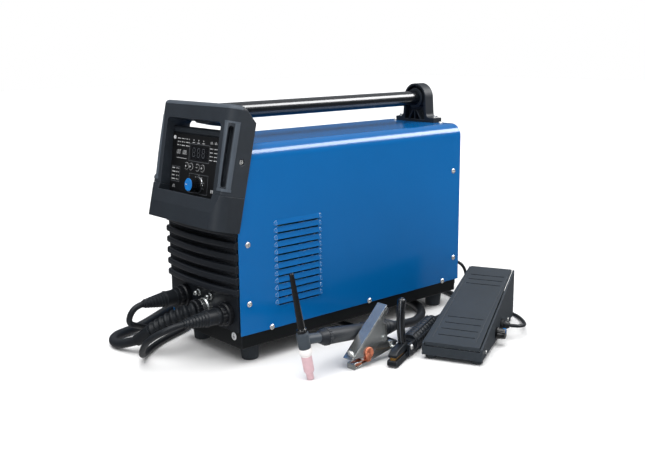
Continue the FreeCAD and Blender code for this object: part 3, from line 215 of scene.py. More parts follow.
finish("window_plastic", srgb(10, 11, 14), 0.12, grain=0.03, vary=0.05, coat=0.6)
finish("knob_plastic", srgb(2, 112, 190), 0.35, grain=0.25, grain_size=0.4, patch=8)
finish("key_plastic", srgb(24, 25, 27), 0.45, grain=0.2, grain_size=0.4, patch=6, edge_highlight=srgb(90, 92, 95),
       bevel=0.3)
finish("tube_paint", srgb(13, 17, 22), 0.24, grain=0.15, grain_size=1.2, coat=0.4, specular=0.5, patch=90)
finish("plate_steel", srgb(66, 71, 77), 0.5, edge_highlight=GREY_EDGE_HIGHLIGHT)
finish("fan_plastic", srgb(20, 21, 23), 0.5, grain=0.3, edge_highlight=srgb(60, 63, 68))
finish("switch_plastic", srgb(15, 16, 18), 0.25, grain=0.1, vary=0.06)
finish("gland_nylon", srgb(22, 24, 27), 0.45, grain=0.2, edge_highlight=srgb(70, 74, 80))
finish("board_laminate", srgb(22, 88, 52), 0.4, grain=0.4, grain_size=2.5, patch=12, vary=0.3)
finish("fin_aluminium", srgb(186, 189, 193), 0.32, metal=0.6, grain=0.2, stretch=(1, 0.1, 1), vary=0.15)
finish("core_iron", srgb(62, 60, 62), 0.5, metal=0.6, grain=0.5, grain_size=1.2, vary=0.25, patch=15)
finish("capacitor_sleeve", srgb(26, 32, 66), 0.25, grain=0.1, patch=25)
finish("valve_brass", srgb(206, 156, 84), 0.3, metal=0.8, grain=0.15, vary=0.25, patch=8,
       edge_highlight=srgb(235, 205, 140))
finish("socket_plastic", srgb(17, 19, 23), 0.36, grain=0.3, grain_size=0.5, edge_highlight=srgb(76, 82, 90))
finish("plug_rubber", srgb(22, 26, 31), 0.48, grain=0.4, grain_size=0.6, patch=18, edge_highlight=GREY_EDGE_HIGHLIGHT,
       edge_highlight_share=0.4, bevel=0.6)
finish("lead_rubber", srgb(24, 28, 33), 0.42, grain=0.3, grain_size=0.9, patch=25, vary=0.15)
finish("cup_ceramic", srgb(218, 182, 188), 0.55, grain_size=0.5, patch=9, vary=0.06, edge_highlight=srgb(244, 220, 223))
finish("torch_moulding", srgb(64, 72, 80), 0.42, grain=0.3, edge_highlight=GREY_EDGE_HIGHLIGHT, edge_highlight_share=0.35, bevel=0.6)
finish("cap_plastic", srgb(8, 9, 11), 0.14, grain=0.05, coat=0.6, coat_rough=0.05, edge_highlight=srgb(80, 84, 90),
       bevel=0.4)
finish("grip_rubber", srgb(34, 38, 44), 0.46, grain=0.4, grain_size=0.7, edge_highlight=GREY_EDGE_HIGHLIGHT, edge_highlight_share=0.25,
       bevel=0.6)
finish("zinc_steel", srgb(206, 209, 208), 0.24, metal=0.92, grain=0.2, grain_size=1.5, patch=24,
       edge_highlight=srgb(240, 240, 238))
finish("contact_copper", srgb(222, 134, 100), 0.3, metal=0.7, grain=0.6, grain_size=0.9, vary=0.35, patch=5,
       edge_highlight=srgb(245, 190, 160))
finish("lever_plastic", srgb(15, 17, 20), 0.2, grain=0.1, coat=0.6, coat_rough=0.08,
       edge_highlight=srgb(120, 128, 140), bevel=1.2)
finish("holder_plastic", srgb(24, 28, 33), 0.36, grain_size=0.6, edge_highlight=srgb(130, 138, 150), edge_highlight_share=0.45,
       bevel=0.7)
finish("pedal_moulding", srgb(45, 52, 59), 0.55, grain=0.55, edge_highlight=srgb(84, 92, 100), edge_highlight_share=0.4,
       bevel=0.9, vary=0.08)

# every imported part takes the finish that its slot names
for part in frame["record"]["subparts"]:
    for socket in NODES[part["node"]].material_slots:
        socket.material = FINISH[part["material_slot"]]

PRINT_WHITE = finish("print_white", srgb(214, 216, 218), 0.5, grain=0.2, grain_size=0.3, patch=4)
PRINT_GREY = finish("print_grey", srgb(120, 124, 130), 0.5, grain=0.2, grain_size=0.3, patch=4)
DIM_SEGMENT = finish("dim_segment", srgb(66, 69, 74), 0.4, grain=0.1, grain_size=0.3, patch=4)
WHITE_CERAMIC = finish("white_ceramic", srgb(244, 240, 238), 0.4, grain=0.2, grain_size=0.4, patch=6,
                       vary=0.04)
CHROME = finish("chrome_trim", srgb(220, 222, 224), 0.14, metal=1.0, grain=0.05, patch=6)


# ------------------------------ mesh building
AXLE = 0.01  # smallest lathe radius, so that no point lies on the axis


def angles(count):
    """Angles of that many points spread evenly round a circle."""
    return [2 * pi * k / count for k in range(count)]


def metres(x, y, z):
    """Converter for points that are already in the object's frame."""
    return Vector((x, y, z))


class Shape:
    """Faces gathered in a sub-assembly's own millimetres, then made into one object."""

    def __init__(self, place=at):
        self.mesh = bmesh.new()
        self.place = place

    def point(self, p):
        return self.mesh.verts.new(self.place(*p))

    def face(self, verts):
        return self.mesh.faces.new(verts)

    def loft(self, rings, capped=True):
        """Skin through closed rings of points that all have the same count."""
        rows = [[self.point(p) for p in ring] for ring in rings]
        count = len(rows[0])
        for low, high in zip(rows, rows[1:]):
            for i in range(count):
                j = (i + 1) % count
                self.face((low[i], low[j], high[j], high[i]))
        if capped:
            self.face(list(reversed(rows[0])))
            self.face(rows[-1])

    def turned(self, base, axis, profile, sides=28, flute=None):
        """Lathe of (radius, height) pairs along axis; flute(angle, height) scales the radius."""
        axis = Vector(axis).normalized()
        side = axis.orthogonal().normalized()
        other = axis.cross(side)
        rings = []
        for radius, height in profile:
            ring = []
            for a in angles(sides):
                r = radius * (flute(a, height) if flute else 1)
                ring.append(Vector(base) + axis * height + (side * cos(a) + other * sin(a)) * r)
            rings.append(ring)
        self.loft(rings, capped=profile[0] != profile[-1])

    def solid(self, base, axis, profile, **options):
        """Lathe with a flat disc at both ends."""
        self.turned(base, axis, [(AXLE, profile[0][1])] + profile + [(AXLE, profile[-1][1])], **options)

    def ring(self, base, axis, outline, **options):
        """Lathe of a closed outline that stays away from the axis."""
        self.turned(base, axis, outline + outline[:1], **options)

    def slab(self, outline, depth):
        """Prism of a closed outline of points along a vector."""
        depth = Vector(depth)
        self.loft([[Vector(p) for p in outline], [Vector(p) + depth for p in outline]])

    def block(self, low, high):
        (a, b, c), (d, e, f) = low, high
        self.slab([(a, b, c), (d, b, c), (d, e, c), (a, e, c)], (0, 0, f - c))

    def done(self, name, slot, body="machine", material=None, replaces=(), soft=40.0, round_by=0.0,
             segments=2):
        """Makes the object: soft is the widest smoothed angle, round_by the rounding of its edges."""
        bmesh.ops.recalc_face_normals(self.mesh, faces=self.mesh.faces)
        mesh = bpy.data.meshes.new(name)
        self.mesh.to_mesh(mesh)
        self.mesh.free()
        obj = new_object(name, mesh)
        if round_by:
            bevel = obj.modifiers.new("round", "BEVEL")
            bevel.width = round_by * MM
            bevel.segments = segments
            bevel.limit_method = "ANGLE"
            bevel.angle_limit = radians(30)
            graph = bpy.context.evaluated_depsgraph_get()
            rounded = bpy.data.meshes.new_from_object(obj.evaluated_get(graph))
            obj.modifiers.clear()
            obj.data = rounded
        obj.data.polygons.foreach_set("use_smooth", [True] * len(obj.data.polygons))
        obj.data.set_sharp_from_angle(angle=radians(soft))
        return settle(obj, slot, body, material, replaces)


def settle(obj, slot, body="machine", material=None, replaces=()):
    """Gives an object its finish, which is its slot's own by default, and joins it to a body."""
    obj.data.materials.append(material or FINISH[slot])
    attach(obj, body)
    if replaces:
        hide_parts(*replaces)
    return obj


def nurbs(name, points, bevel=0.0):
    """Smooth open curve with the given control points, in metres."""
    curve = bpy.data.curves.new(name, "CURVE")
    curve.dimensions = "3D"
    curve.resolution_u = 8
    spline = curve.splines.new("NURBS")
    spline.points.add(len(points) - 1)
    for target, p in zip(spline.points, points):
        target.co = (p[0], p[1], p[2], 1.0)
    spline.order_u = 3
    spline.use_endpoint_u = True
    curve.bevel_depth = bevel * MM
    curve.bevel_resolution = 6
    curve.use_fill_caps = True
    return new_object(name, curve)


def line_of(points):
    """Points along the smooth curve of those control points, in metres."""
    guide = nurbs("line", points)
    graph = bpy.context.evaluated_depsgraph_get()
    mesh = bpy.data.meshes.new_from_object(guide.evaluated_get(graph))
    path = [v.co.copy() for v in mesh.vertices]
    bpy.data.objects.remove(guide)
    bpy.data.meshes.remove(mesh)
    return path


def sleeve(path, radius_at, step=0.0007, sides=24):
    """Rings in metres round a path, with radius_at(distance along it in millimetres)."""
    rings, walked, due = [], 0.0, 0.0
    up = None
    for a, b in zip(path, path[1:]):
        run = b - a
        along = run.normalized()
        side = (along.orthogonal() if up is None else up - along * up.dot(along)).normalized()
        up = side
        other = along.cross(side)
        while due <= walked + run.length:
            centre = a + along * (due - walked)
            r = radius_at(due / MM) * MM
            rings.append([centre + (side * cos(t) + other * sin(t)) * r for t in angles(sides)])
            due += step
        walked += run.length
    return rings


def helix(radius, length, turns, steps):
    """Points of a coil spring, as two places across its axis and one along it."""
    count = int(turns * steps)
    return [(radius * cos(2 * pi * k / steps), radius * sin(2 * pi * k / steps), length * k / count)
            for k in range(count + 1)]


# ------------------------------ camera
CAMERA_AT = (1192.7, -772.1, 504.2)
AZIMUTH, ELEVATION, ROLL = map(radians, (49.158, 12.102, -0.688))
LENS = 49.31


def make_camera():
    """Camera looking at the machine's front and right side, from a little above."""
    back = Vector((sin(AZIMUTH) * cos(ELEVATION), -cos(AZIMUTH) * cos(ELEVATION), sin(ELEVATION)))
    level = Vector(UP).cross(back).normalized()
    up = back.cross(level)
    right = level * cos(ROLL) + up * sin(ROLL)
    top = up * cos(ROLL) - level * sin(ROLL)
    data = bpy.data.cameras.new("camera")
    data.lens = LENS
    data.sensor_width = 36
    data.clip_end = 50
    camera = new_object("camera", data)
    camera.matrix_world = pose_of(at(*CAMERA_AT), right, top, back)
    bpy.context.scene.camera = camera


make_camera()

# ------------------------------ cords
EARTH_OUT = [
    (70, -87, 84), (69.3, -99, 83), (65, -110, 79.5), (56, -118, 73.5), (42, -123.5, 65),
    (23, -126, 51.5), (3, -122, 34.5), (-17, -113, 18.5), (-38, -98, 8.5), (-61, -77, 5.4),
    (-84, -45, 5.3), (-103, -5, 5.4), (-122, 40, 5.3), (-155, 78, 5.4), (-200, 108, 5.3),
    (-233, 143, 5.4)
]
EARTH_BACK = [
    (-150, 266, 11), (-120, 261, 6.5), (-90, 257, 5.3), (-30, 263, 5.4), (35, 257, 5.3), (90, 262, 5.4),
    (133, 260.5, 5.3), (158, 257, 5.5), (179, 252, 6.3), (199.5, 243.5, 10.5), (213.5, 230.5, 16.8),
    (220, 212, 21.5)
]
TORCH_OUT = [
    (-73, -90, 23), (-91, -98.5, 16), (-111, -103.5, 10.5), (-131, -102.5, 8.5), (-149, -94, 8.4),
    (-162, -79, 8.3), (-168, -58, 8.5), (-170, -34, 10), (-172, -5, 17.5), (-179, 29, 26),
    (-193, 66, 27.5), (-214, 99, 20), (-240, 128, 10.5), (-263, 162, 8.3), (-279, 205, 8.4),
    (-290, 255, 8.3), (-304, 305, 8.4), (-314, 340, 8.3)
]
TORCH_BACK = [
    (-180, 503, 18), (-150, 486, 10.5), (-115, 466, 8.3), (-75, 449, 8.4), (-5, 453, 8.3),
    (55, 443, 8.4), (98, 420, 8.3), (128, 386, 8.8), (149, 347, 12.5), (163.5, 313, 20), (174, 286, 27),
    (181.6, 258.6, 31.6)
]
HOLDER_OUT = [
    (-52, -87, 90), (-51.5, -96.5, 88.6), (-53, -104.3, 83.2), (-56.5, -108.6, 74), (-61, -108.8, 64),
    (-66.5, -103, 56), (-74, -93, 50), (-84, -78.5, 43.5), (-96, -58, 33), (-108, -33, 19),
    (-121, -4, 8), (-142, 25, 5.4), (-174, 50, 5.3), (-216, 73, 5.4), (-263, 103, 5.3), (-308, 148, 5.4),
    (-340, 212, 5.3), (-357, 288, 5.4), (-361, 368, 5.3), (-352, 448, 5.4), (-325, 516, 5.3),
    (-284, 556, 5.4), (-245, 573, 5.3), (-208, 576, 5.3)
]
HOLDER_BACK = [
    (-134, 578, 13), (-104, 577, 9.5), (-60, 571, 5.4), (-2, 563, 5.3), (58, 553, 5.4), (106, 531, 5.3),
    (134, 490, 5.5), (148, 446, 7.0), (160, 405, 12), (176.2, 366.6, 17)
]
PEDAL_OUT = [
    (302.0, 421.3, 25), (310, 425, 24.8), (314.5, 433, 24), (314.5, 443, 22.8), (309.5, 454, 20.2),
    (299, 468.5, 16.3), (285, 486, 11.5), (268.5, 505, 7), (251, 521.5, 4.2), (231.5, 533, 3.4),
    (210, 539, 3.3), (185, 542, 3.4), (160, 545.5, 3.3), (138, 547.5, 3.4), (122, 548.3, 3.3)
]
PEDAL_BACK = [
    (117, 548.2, 9.4), (106, 548.6, 13), (100, 549.5, 23), (97.6, 551, 37), (95, 552.5, 51),
    (91, 551.5, 64), (86.5, 545.5, 74.5), (80.3, 534.3, 81)
]
MAINS_OUT = [
    (40, 534.3, 95), (39.5, 549, 93.5), (37, 563, 88.5), (32.5, 575, 80), (26.5, 585.5, 68.5),
    (19, 593.5, 55.5), (9.5, 599, 42), (-2.5, 603, 29), (-17.5, 605.5, 18), (-35, 606, 11),
    (-54, 603, 10), (-73, 598.5, 14.5), (-92, 593.5, 21.5), (-111, 589, 27.5), (-131, 584, 26)
]
MAINS_BACK = [
    (-235, 655, 34), (-238, 680, 30), (-249.7, 699.4, 25), (-272, 711, 20.5), (-297.1, 712.1, 16.5),
    (-320.3, 702.5, 13.5), (-337.2, 684, 11.6), (-344.5, 662, 11.4), (-345.5, 644, 12)
]
TORCH_BOOT = [(10, -20, 82), (5, -38, 79), (-12, -55, 69), (-35, -70, 52), (-55, -81, 37), (-73, -90, 23)]
TURN_POINTS = 14


def wound(centre, start, sense, radii, lift, diameter, last):
    """Turns of a coil: in across the lower layer, out across the upper one, ending at an angle.

    start and last are in degrees, sense is 1 for anticlockwise, lift is the lower layer's height.
    """
    lanes = [(r, lift) for r in radii] + [(r, lift + diameter * 1.01) for r in reversed(radii)]
    extra = ((last - start) * sense) % 360 / 360
    count = int((len(lanes) - 1 + extra) * TURN_POINTS)
    points = []
    for k in range(count + 1):
        lane, share = divmod(k, TURN_POINTS)
        share = max(0.0, share / TURN_POINTS - 0.7) / 0.3
        here, after = lanes[min(lane, len(lanes) - 1)], lanes[min(lane + 1, len(lanes) - 1)]
        radius, height = (a + (b - a) * share for a, b in zip(here, after))
        angle = radians(start + sense * 360 * k / TURN_POINTS)
        points.append((centre[0] + radius * cos(angle), centre[1] + radius * sin(angle), height))
    return points


def cord(name, points, diameter, nodes):
    """Lead along a route in millimetres, drawn in place of its tube and its ring-shaped coil."""
    obj = nurbs(name, [at(*p) for p in points], bevel=diameter / 2)
    settle(obj, "lead_rubber", replaces=nodes)


cord("earth_cord", EARTH_OUT + wound((-190, 205), 200, -1, (65, 55, 45), 5.1, 10, 80) + EARTH_BACK, 10,
     ("earth_lead", "earth_lead_coil"))
cord("torch_cord", TORCH_OUT + wound((-230, 410), 200, -1, (102, 86, 70), 8.2, 16, 80) + TORCH_BACK, 16,
     ("torch_hose", "torch_hose_coil"))
cord("holder_cord", HOLDER_OUT + wound((-170, 640), 270, 1, (65, 55, 45), 5.2, 10, 275) + HOLDER_BACK,
     10, ("holder_lead", "holder_lead_coil"))
cord("mains_cord", MAINS_OUT + wound((-170, 640), 290, -1, (65, 55, 45), 25.5, 10, 180) + MAINS_BACK, 10,
     ("mains_cable", "mains_cable_coil"))
cord("pedal_cord", PEDAL_OUT + wound((110, 590), 280, -1, (42, 36, 30, 24), 3.2, 6, 300) + PEDAL_BACK, 6,
     ("pedal_cable", "pedal_cable_coil"))


# ------------------------------ front connectors
PLUGS = ((-52.0, 90.0), (70.0, 84.0))  # X, Z of the two lead plugs
TORCH_X, TORCH_Z = 10.0, 82.0


def fluted(count, depth, low=-100, high=100):
    """Lathe option: shallow round flutes between two heights, as on a grip."""
    return lambda angle, height: 1 - depth * max(0.0, cos(count * angle)) * (low < height < high)


def make_torch_boot():
    """Corrugated bend relief: rings close together, then a smooth cuff."""
    path = line_of([at(TORCH_X, y, TORCH_Z) for y in (0, -12)] + [at(*p) for p in TORCH_BOOT])

    def radius(s):
        if s < 24:
            return 10.2
        if s < 111:
            return 8.6 + 4.4 * (0.5 - 0.5 * cos(2 * pi * (s - 24) / 10.9)) ** 0.7
        return 11.4 - 1.2 * min(1.0, (s - 111) / 24)

    shape = Shape(metres)
    shape.loft(sleeve(path, radius))
    shape.done("torch_bend_relief", "plug_rubber", replaces=("torch_boot",), soft=50)


def make_connector_rings():
    """Knurled locking collars round the plugs and the torch connector."""
    collar = [(13.6, 11), (16.6, 11.3), (17.2, 12.5), (17.2, 20.5), (16.4, 22), (13.6, 22.4)]
    for number, (x, z) in enumerate(PLUGS, 1):
        shape = Shape()
        shape.ring((x, 0, z), OUT, collar, sides=72, flute=fluted(12, 0.06))
        shape.done("plug_collar_%d" % number, "socket_plastic", soft=30)
        band = Shape()
        for start in (25.5, 44.0):
            band.ring((x, 0, z), OUT, [(13.0, start), (14.0, start + 0.5), (14.0, start + 2.2),
                                       (13.0, start + 2.7)], sides=40)
        band.done("plug_band_%d" % number, "plug_rubber", soft=30)
    shape = Shape()
    shape.ring((TORCH_X, 0, TORCH_Z), OUT,
               [(10.4, 19.2), (15.0, 19.4), (16.2, 20.6), (16.2, 28), (14.8, 29.6), (10.4, 29.8)], sides=72,
               flute=fluted(18, 0.05))
    shape.done("torch_collar", "socket_plastic", soft=30)


def make_earth_mark():
    """White earth disc on the tray's front wall: a stem and three bars."""
    disc = Shape()
    disc.solid((77.5, 2.02, 46.5), OUT, [(6.4, 0), (6.4, 0.35), (6.0, 0.5)], sides=40)
    disc.done("earth_disc", "screw_steel", material=PRINT_WHITE)
    symbol = Shape()
    for x0, x1, z0, z1 in ((77.1, 77.9, 46.3, 51.0), (73.9, 81.1, 45.6, 46.4), (75.1, 79.9, 43.9, 44.7),
                           (76.3, 78.7, 42.2, 43.0)):
        symbol.block((x0, 1.38, z0), (x1, 1.54, z1))
    symbol.done("earth_symbol", "fascia_plastic")


make_torch_boot()
make_connector_rings()
make_earth_mark()


# ------------------------------ control panel
KNOB_X, KNOB_Z = 8.0, 17.0
KEYS_X, KEYS_Z = (-30.0, -17.0, 2.0, 16.0), 44.0
POST_X, POST_Y, POST_R = 83, -24, 22  # centre and radius of the guard frame's round corners
BROW_Z, BROW_R = 185, 7  # height and radius of the frame's rolled top edge


def print_bar(shape, x, z, width, height):
    """Thin printed mark on the fascia, from its lower left corner."""
    shape.block((x, -0.14, z), (x + width, -0.01, z + height))


def print_ring(shape, x, z, radius, line):
    """Printed ring of that line width round a point; nearly a dot when the line is as wide as the radius."""
    hole = radius - line
    shape.ring((x, 0, z), OUT, [(hole, 0.01), (radius, 0.01), (radius, 0.14), (hole, 0.14)], sides=32)


def print_frame(shape, x, z, width, height, line=0.45):
    """Printed rectangle, from its lower left corner."""
    print_bar(shape, x, z, width, line)
    print_bar(shape, x, z + height - line, width, line)
    print_bar(shape, x, z + line, line, height - 2 * line)
    print_bar(shape, x + width - line, z + line, line, height - 2 * line)


def print_wave(shape, x, z, width, height, steps):
    """Square wave as a printed icon."""
    pitch = width / steps
    for k in range(steps):
        level = z + (height if k % 2 else 0)
        print_bar(shape, x + k * pitch, level, pitch, 0.6)
        print_bar(shape, x + k * pitch, z, 0.6, height)


def make_fascia_print():
    """Lamps, bars, waves and frames printed round the window, the keys and the knob."""
    marks, lines = Shape(fascia), Shape(fascia)
    for row in range(4):
        print_bar(marks, -72, 19 + 6 * row, 9.5 - (row % 2) * 2, 1.5)
        print_ring(marks, -58, 19.8 + 6 * row, 1.1, 1.0)
        print_ring(marks, -53, 19.8 + 6 * row, 0.9, 0.8)
    print_frame(lines, -74, 16, 25, 25)
    print_wave(marks, -68, 6, 8, 4, 3)
    for column, x in enumerate((-62, -49, -36)):
        for row in range(3):
            print_bar(marks, x, 86.5 - 5.5 * row, 6 - ((row + column) % 3), 1.2)
            print_ring(marks, x + 8.4, 87 - 5.5 * row, 0.9, 0.8)
    for x in (34, 46, 58):
        print_wave(marks, x, 84, 7, 3.2, 3)
        for row in range(4):
            print_bar(marks, x, 76 - 6 * row, 5, 1.1)
            print_ring(marks, x + 7, 76.6 - 6 * row, 0.8, 0.7)
    print_wave(marks, -62, 62, 12, 6, 4)
    print_wave(marks, -44, 62, 12, 6, 5)
    print_bar(marks, -62, 55, 30, 0.6)
    for x in (-14, 0, 14):
        print_ring(marks, x, 87, 1.0, 0.9)
        print_bar(marks, x - 3, 82.5, 6, 1.0)
    for x in KEYS_X:
        print_ring(marks, x, KEYS_Z, 5.9, 0.5)
    print_frame(lines, -20, 2.5, 54, 31)
    print_frame(lines, -25, 53, 58, 28)
    for row in range(3):
        print_bar(marks, -16, 20 - 4 * row, 7 - 2 * (row % 2), 1.2)
    print_bar(marks, 44, 8, 2.2, 5)
    print_bar(marks, 48, 8, 2.2, 5)
    for k in range(7):
        angle = radians(200 - 36.7 * k)
        print_ring(marks, KNOB_X + 15.2 * cos(angle), KNOB_Z + 15.2 * sin(angle), 0.6, 0.5)
    marks.done("fascia_marks", "fascia_plastic", material=PRINT_WHITE)
    lines.done("fascia_lines", "fascia_plastic", material=PRINT_GREY)


def make_read_out():
    """Three unlit seven-segment figures behind the display window."""
    shape = Shape(fascia)
    for x in (-15.0, -1.5, 12.0):
        for level in (60.0, 66.8, 73.6):
            shape.block((x + 1.2, -0.52, level), (x + 6.6, -0.41, level + 1.3))
        for side in (0.0, 6.6):
            for level in (61.6, 68.4):
                shape.block((x + side, -0.52, level), (x + side + 1.2, -0.41, level + 4.9))
    shape.done("read_out", "window_plastic", material=DIM_SEGMENT)


def make_panel_lamp():
    """Small domed lamp in the fascia's upper left corner."""
    shape = Shape(fascia)
    shape.turned((-70, 0, 88), OUT,
                 [(AXLE, 0.01), (3.3, 0.01), (3.3, 0.8), (2.6, 1.0), (2.2, 2.0), (1.2, 2.6), (AXLE, 2.8)],
                 sides=28)
    shape.done("panel_lamp", "window_plastic", material=PRINT_WHITE)


def make_key_marks():
    """An arrow or a bar raised on each key; it travels with its key."""
    for number, x in enumerate(KEYS_X, 1):
        shape = Shape(fascia)
        if number <= 2:
            tip = 1.9 if number == 2 else -1.9
            shape.slab([(x - tip * 0.6, -1.95, KEYS_Z - 1.8), (x + tip, -1.95, KEYS_Z),
                        (x - tip * 0.6, -1.95, KEYS_Z + 1.8)], (0, 0.2, 0))
        else:
            shape.block((x - 2.1, -1.95, KEYS_Z - 0.4), (x + 2.1, -1.75, KEYS_Z + 0.4))
            if number == 4:
                shape.block((x - 0.4, -1.96, KEYS_Z - 2.0), (x + 0.4, -1.75, KEYS_Z + 2.0))
        shape.done("key_mark_%d" % number, "key_plastic", "key_%d" % number, material=PRINT_WHITE)


def make_encoder_knob():
    """Black fluted barrel on a bright skirt ring, with a dished blue cap and its pointer."""
    base = (KNOB_X, 0, KNOB_Z)
    barrel = Shape(fascia)
    profile = [(2.9, -8), (3.0, 0.5), (12.3, 0.5), (12.5, 1.0), (12.5, 2.0), (11.9, 2.8), (10.9, 3.4),
               (10.9, 16.6), (10.4, 18.2), (9.6, 18.6), (3.0, 18.6)]
    barrel.turned(base, OUT, profile, sides=108, flute=fluted(18, 0.07, 3, 18))
    barrel.done("knob_barrel", "switch_plastic", "encoder", replaces=("encoder_knob",), soft=30)
    skirt = Shape(fascia)
    skirt.ring(base, OUT, [(11.4, 0.3), (13.2, 0.3), (13.5, 0.9), (13.2, 1.5), (12.4, 1.6)], sides=60)
    skirt.done("knob_ring", "screw_steel", "encoder", material=CHROME)
    cap = Shape(fascia)
    dish = [(AXLE, 18.3), (10.2, 18.3), (10.3, 18.7), (9.7, 19.4), (8.6, 19.4), (6.5, 19.0), (AXLE, 18.8)]
    cap.turned(base, OUT, dish, sides=60)
    cap.done("knob_cap", "knob_plastic", "encoder", soft=50)
    pointer = Shape(fascia)
    pointer.block((KNOB_X - 8.2, -19.35, KNOB_Z - 0.5), (KNOB_X - 3.4, -18.7, KNOB_Z + 0.5))
    pointer.done("knob_pointer", "knob_plastic", "encoder", material=PRINT_WHITE)


def make_guard_brow():
    """Lighter skin over the rolled edge along the top of the guard frame: a painted highlight where the top
    faces the light.
    """
    corner = (0, 20, 40, 60, 80)
    stations = [(-POST_X, -turn) for turn in reversed(corner)] + [(x, 0) for x in (-42, 0, 42)]
    stations += [(POST_X, turn) for turn in corner]
    rings = []
    for centre, degrees in stations:
        turn, ring = radians(degrees), []
        for lift, steps in ((0.35, range(7)), (-0.8, range(6, -1, -1))):
            for n in steps:
                roll = radians(5 + 13 * n)
                reach = POST_R - BROW_R * (1 - cos(roll)) + lift * cos(roll)
                ring.append((centre + reach * sin(turn), POST_Y - reach * cos(turn),
                             BROW_Z + (BROW_R + lift) * sin(roll)))
        rings.append(ring)
    brow = Shape(cage)
    brow.loft(rings)
    brow.done("guard_brow", "guard_moulding", material=FINISH["guard_painted_highlight"], soft=50)


def bead(side, first, last, low, high, crown):
    """Rings of a raised bead on a post, between two angles round it and two heights."""
    rings = []
    for step in range(9):
        w, ring = low + (high - low) * step / 8, []
        flat = -41 - (w - 53) * 0.04  # the front is flatter than the post is round
        for steps, lift, bulge in ((range(9), 0.12, crown), (range(8, -1, -1), -0.7, 0)):
            for n in steps:
                turn = radians(first + (last - first) * n / 8)
                out = lift + bulge * sin(pi * n / 8)
                ring.append((side * (POST_X + (POST_R + out) * sin(turn)),
                             max(POST_Y - POST_R * cos(turn), flat) - out * cos(turn), w))
        rings.append(ring)
    return rings


def make_slot_beads():
    """Beads on both sides of each grip slot, under it and over it, in a lighter colour that is a painted
    highlight.
    """
    beads = Shape(cage)
    for side in (-1, 1):
        for place in ((9, 29, 64.5, 164, 0.7), (57, 77, 64.5, 164, 0.7), (6, 80, 60, 64.4, 1.3),
                      (9, 77, 164.1, 167, 0.5)):
            beads.loft(bead(side, *place))
    beads.done("slot_beads", "guard_moulding", material=FINISH["guard_painted_highlight"], soft=50)


def make_tube_saddle():
    """Wedge of the guard frame that the carrying tube's front end lies on."""
    saddle = Shape(cage)
    saddle.loft([[(-25, y, 164.4), (-15, y, 159.6), (15, y, 159.6), (25, y, 164.4)] for y in (-29, -3)])
    saddle.done("tube_saddle", "guard_moulding", soft=20)


make_guard_brow()
make_slot_beads()
make_tube_saddle()
make_fascia_print()
make_read_out()
make_panel_lamp()
make_key_marks()
make_encoder_knob()


# ------------------------------ case
HALF_W = 100.6  # half the cover's width
LOUVRE_Y, LOUVRE_FIRST, LOUVRE_PITCH, LOUVRES = (75.0, 165.0), 89.0, 11.9, 12


def make_louvre_ends():
    """Pressed, rounded ends of the hoods over the cooling slots, in glossier paint with a near-white painted
    highlight on their edges.
    """
    shape = Shape()
    for side in (-1, 1):
        for k in range(LOUVRES):
            z = LOUVRE_FIRST + k * LOUVRE_PITCH
            for y, way in zip(LOUVRE_Y, (-1, 1)):
                rings = []
                for step in range(6):
                    angle = radians(15 + 14 * step) if step else 0.0
                    grow, reach = cos(angle), y + way * 5.5 * sin(angle)
                    rings.append([(side * (HALF_W - 0.2), reach, z + 1.6 + 1.5 * (1 - grow)),
                                  (side * (HALF_W + 2.4 * grow), reach, z + 1.6 + 1.5 * (1 - grow)),
                                  (side * (HALF_W + 1.2 * grow), reach, z + 6.2),
                                  (side * (HALF_W - 0.2), reach, z + 3.0 + 6.5 * grow)])
                shape.loft(rings)
    shape.done("louvre_ends", "cover_paint", material=FINISH["louvre_gloss_painted_glint"], soft=50)


def make_bracket_bolts():
    """Socket-head bolts of the rear handle bracket, each on a washer."""
    shape = Shape()
    for x in (-44.5, 44.5):
        shape.turned((x, 511, 361.2), UP,
                     [(6.4, 0), (6.4, 0.8), (4.2, 0.9), (4.2, 3.6), (3.7, 4.1), (2.2, 4.1), (2.2, 2.0),
                      (AXLE, 2.0)], sides=30)
    shape.done("bracket_bolts", "screw_steel", soft=30)


make_louvre_ends()
make_bracket_bolts()


# ------------------------------ rear
FAN_X, FAN_Z, REAR_FACE = -10.0, 200.0, 517.0


def make_fan_guard():
    """Wire guard over the fan's slots: rings on four spokes, held by four screws."""
    shape = Shape()
    for radius in (13.0, 23.0, 33.0, 43.0, 53.0):
        wire = [(radius + cos(t), 2.6 + sin(t)) for t in angles(8)]
        shape.ring((FAN_X, REAR_FACE, FAN_Z), REAR, wire, sides=64)
    for k in range(4):
        angle = radians(45 + 90 * k)
        across = Vector((cos(angle), 0, sin(angle)))
        centre = Vector((FAN_X, REAR_FACE + 1.4, FAN_Z))
        shape.solid(centre + across * 11, across, [(1.1, 0), (1.1, 58)], sides=10)
        shape.solid(centre + across * 66 - Vector((0, 1.3, 0)), REAR, [(4.2, 0), (4.2, 1.8), (3.0, 2.6)],
                    sides=24)
    shape.done("fan_guard", "screw_steel", soft=45)


def make_rear_marks():
    """Blank rating plate with four rivets, and the switch's ring and bar."""
    plate = Shape()
    plate.block((20, REAR_FACE, 300), (76, REAR_FACE + 0.6, 332))
    plate.done("rating_plate", "fin_aluminium", round_by=0.2)
    rivets = Shape()
    for x in (23.5, 72.5):
        for z in (303.5, 328.5):
            rivets.turned((x, REAR_FACE + 0.6, z), REAR, [(AXLE, 0), (1.7, 0), (1.5, 0.7), (AXLE, 1.0)],
                          sides=16)
    rivets.done("plate_rivets", "screw_steel", soft=60)
    marks = Shape()
    marks.ring((-81.5, REAR_FACE + 1.98, 305), REAR, [(1.2, 0), (1.7, 0), (1.7, 0.15), (1.2, 0.15)])
    marks.block((-46.2, REAR_FACE + 1.98, 303.2), (-45.6, REAR_FACE + 2.14, 306.8))
    marks.done("switch_marks", "switch_plastic", material=PRINT_WHITE)


make_fan_guard()
make_rear_marks()


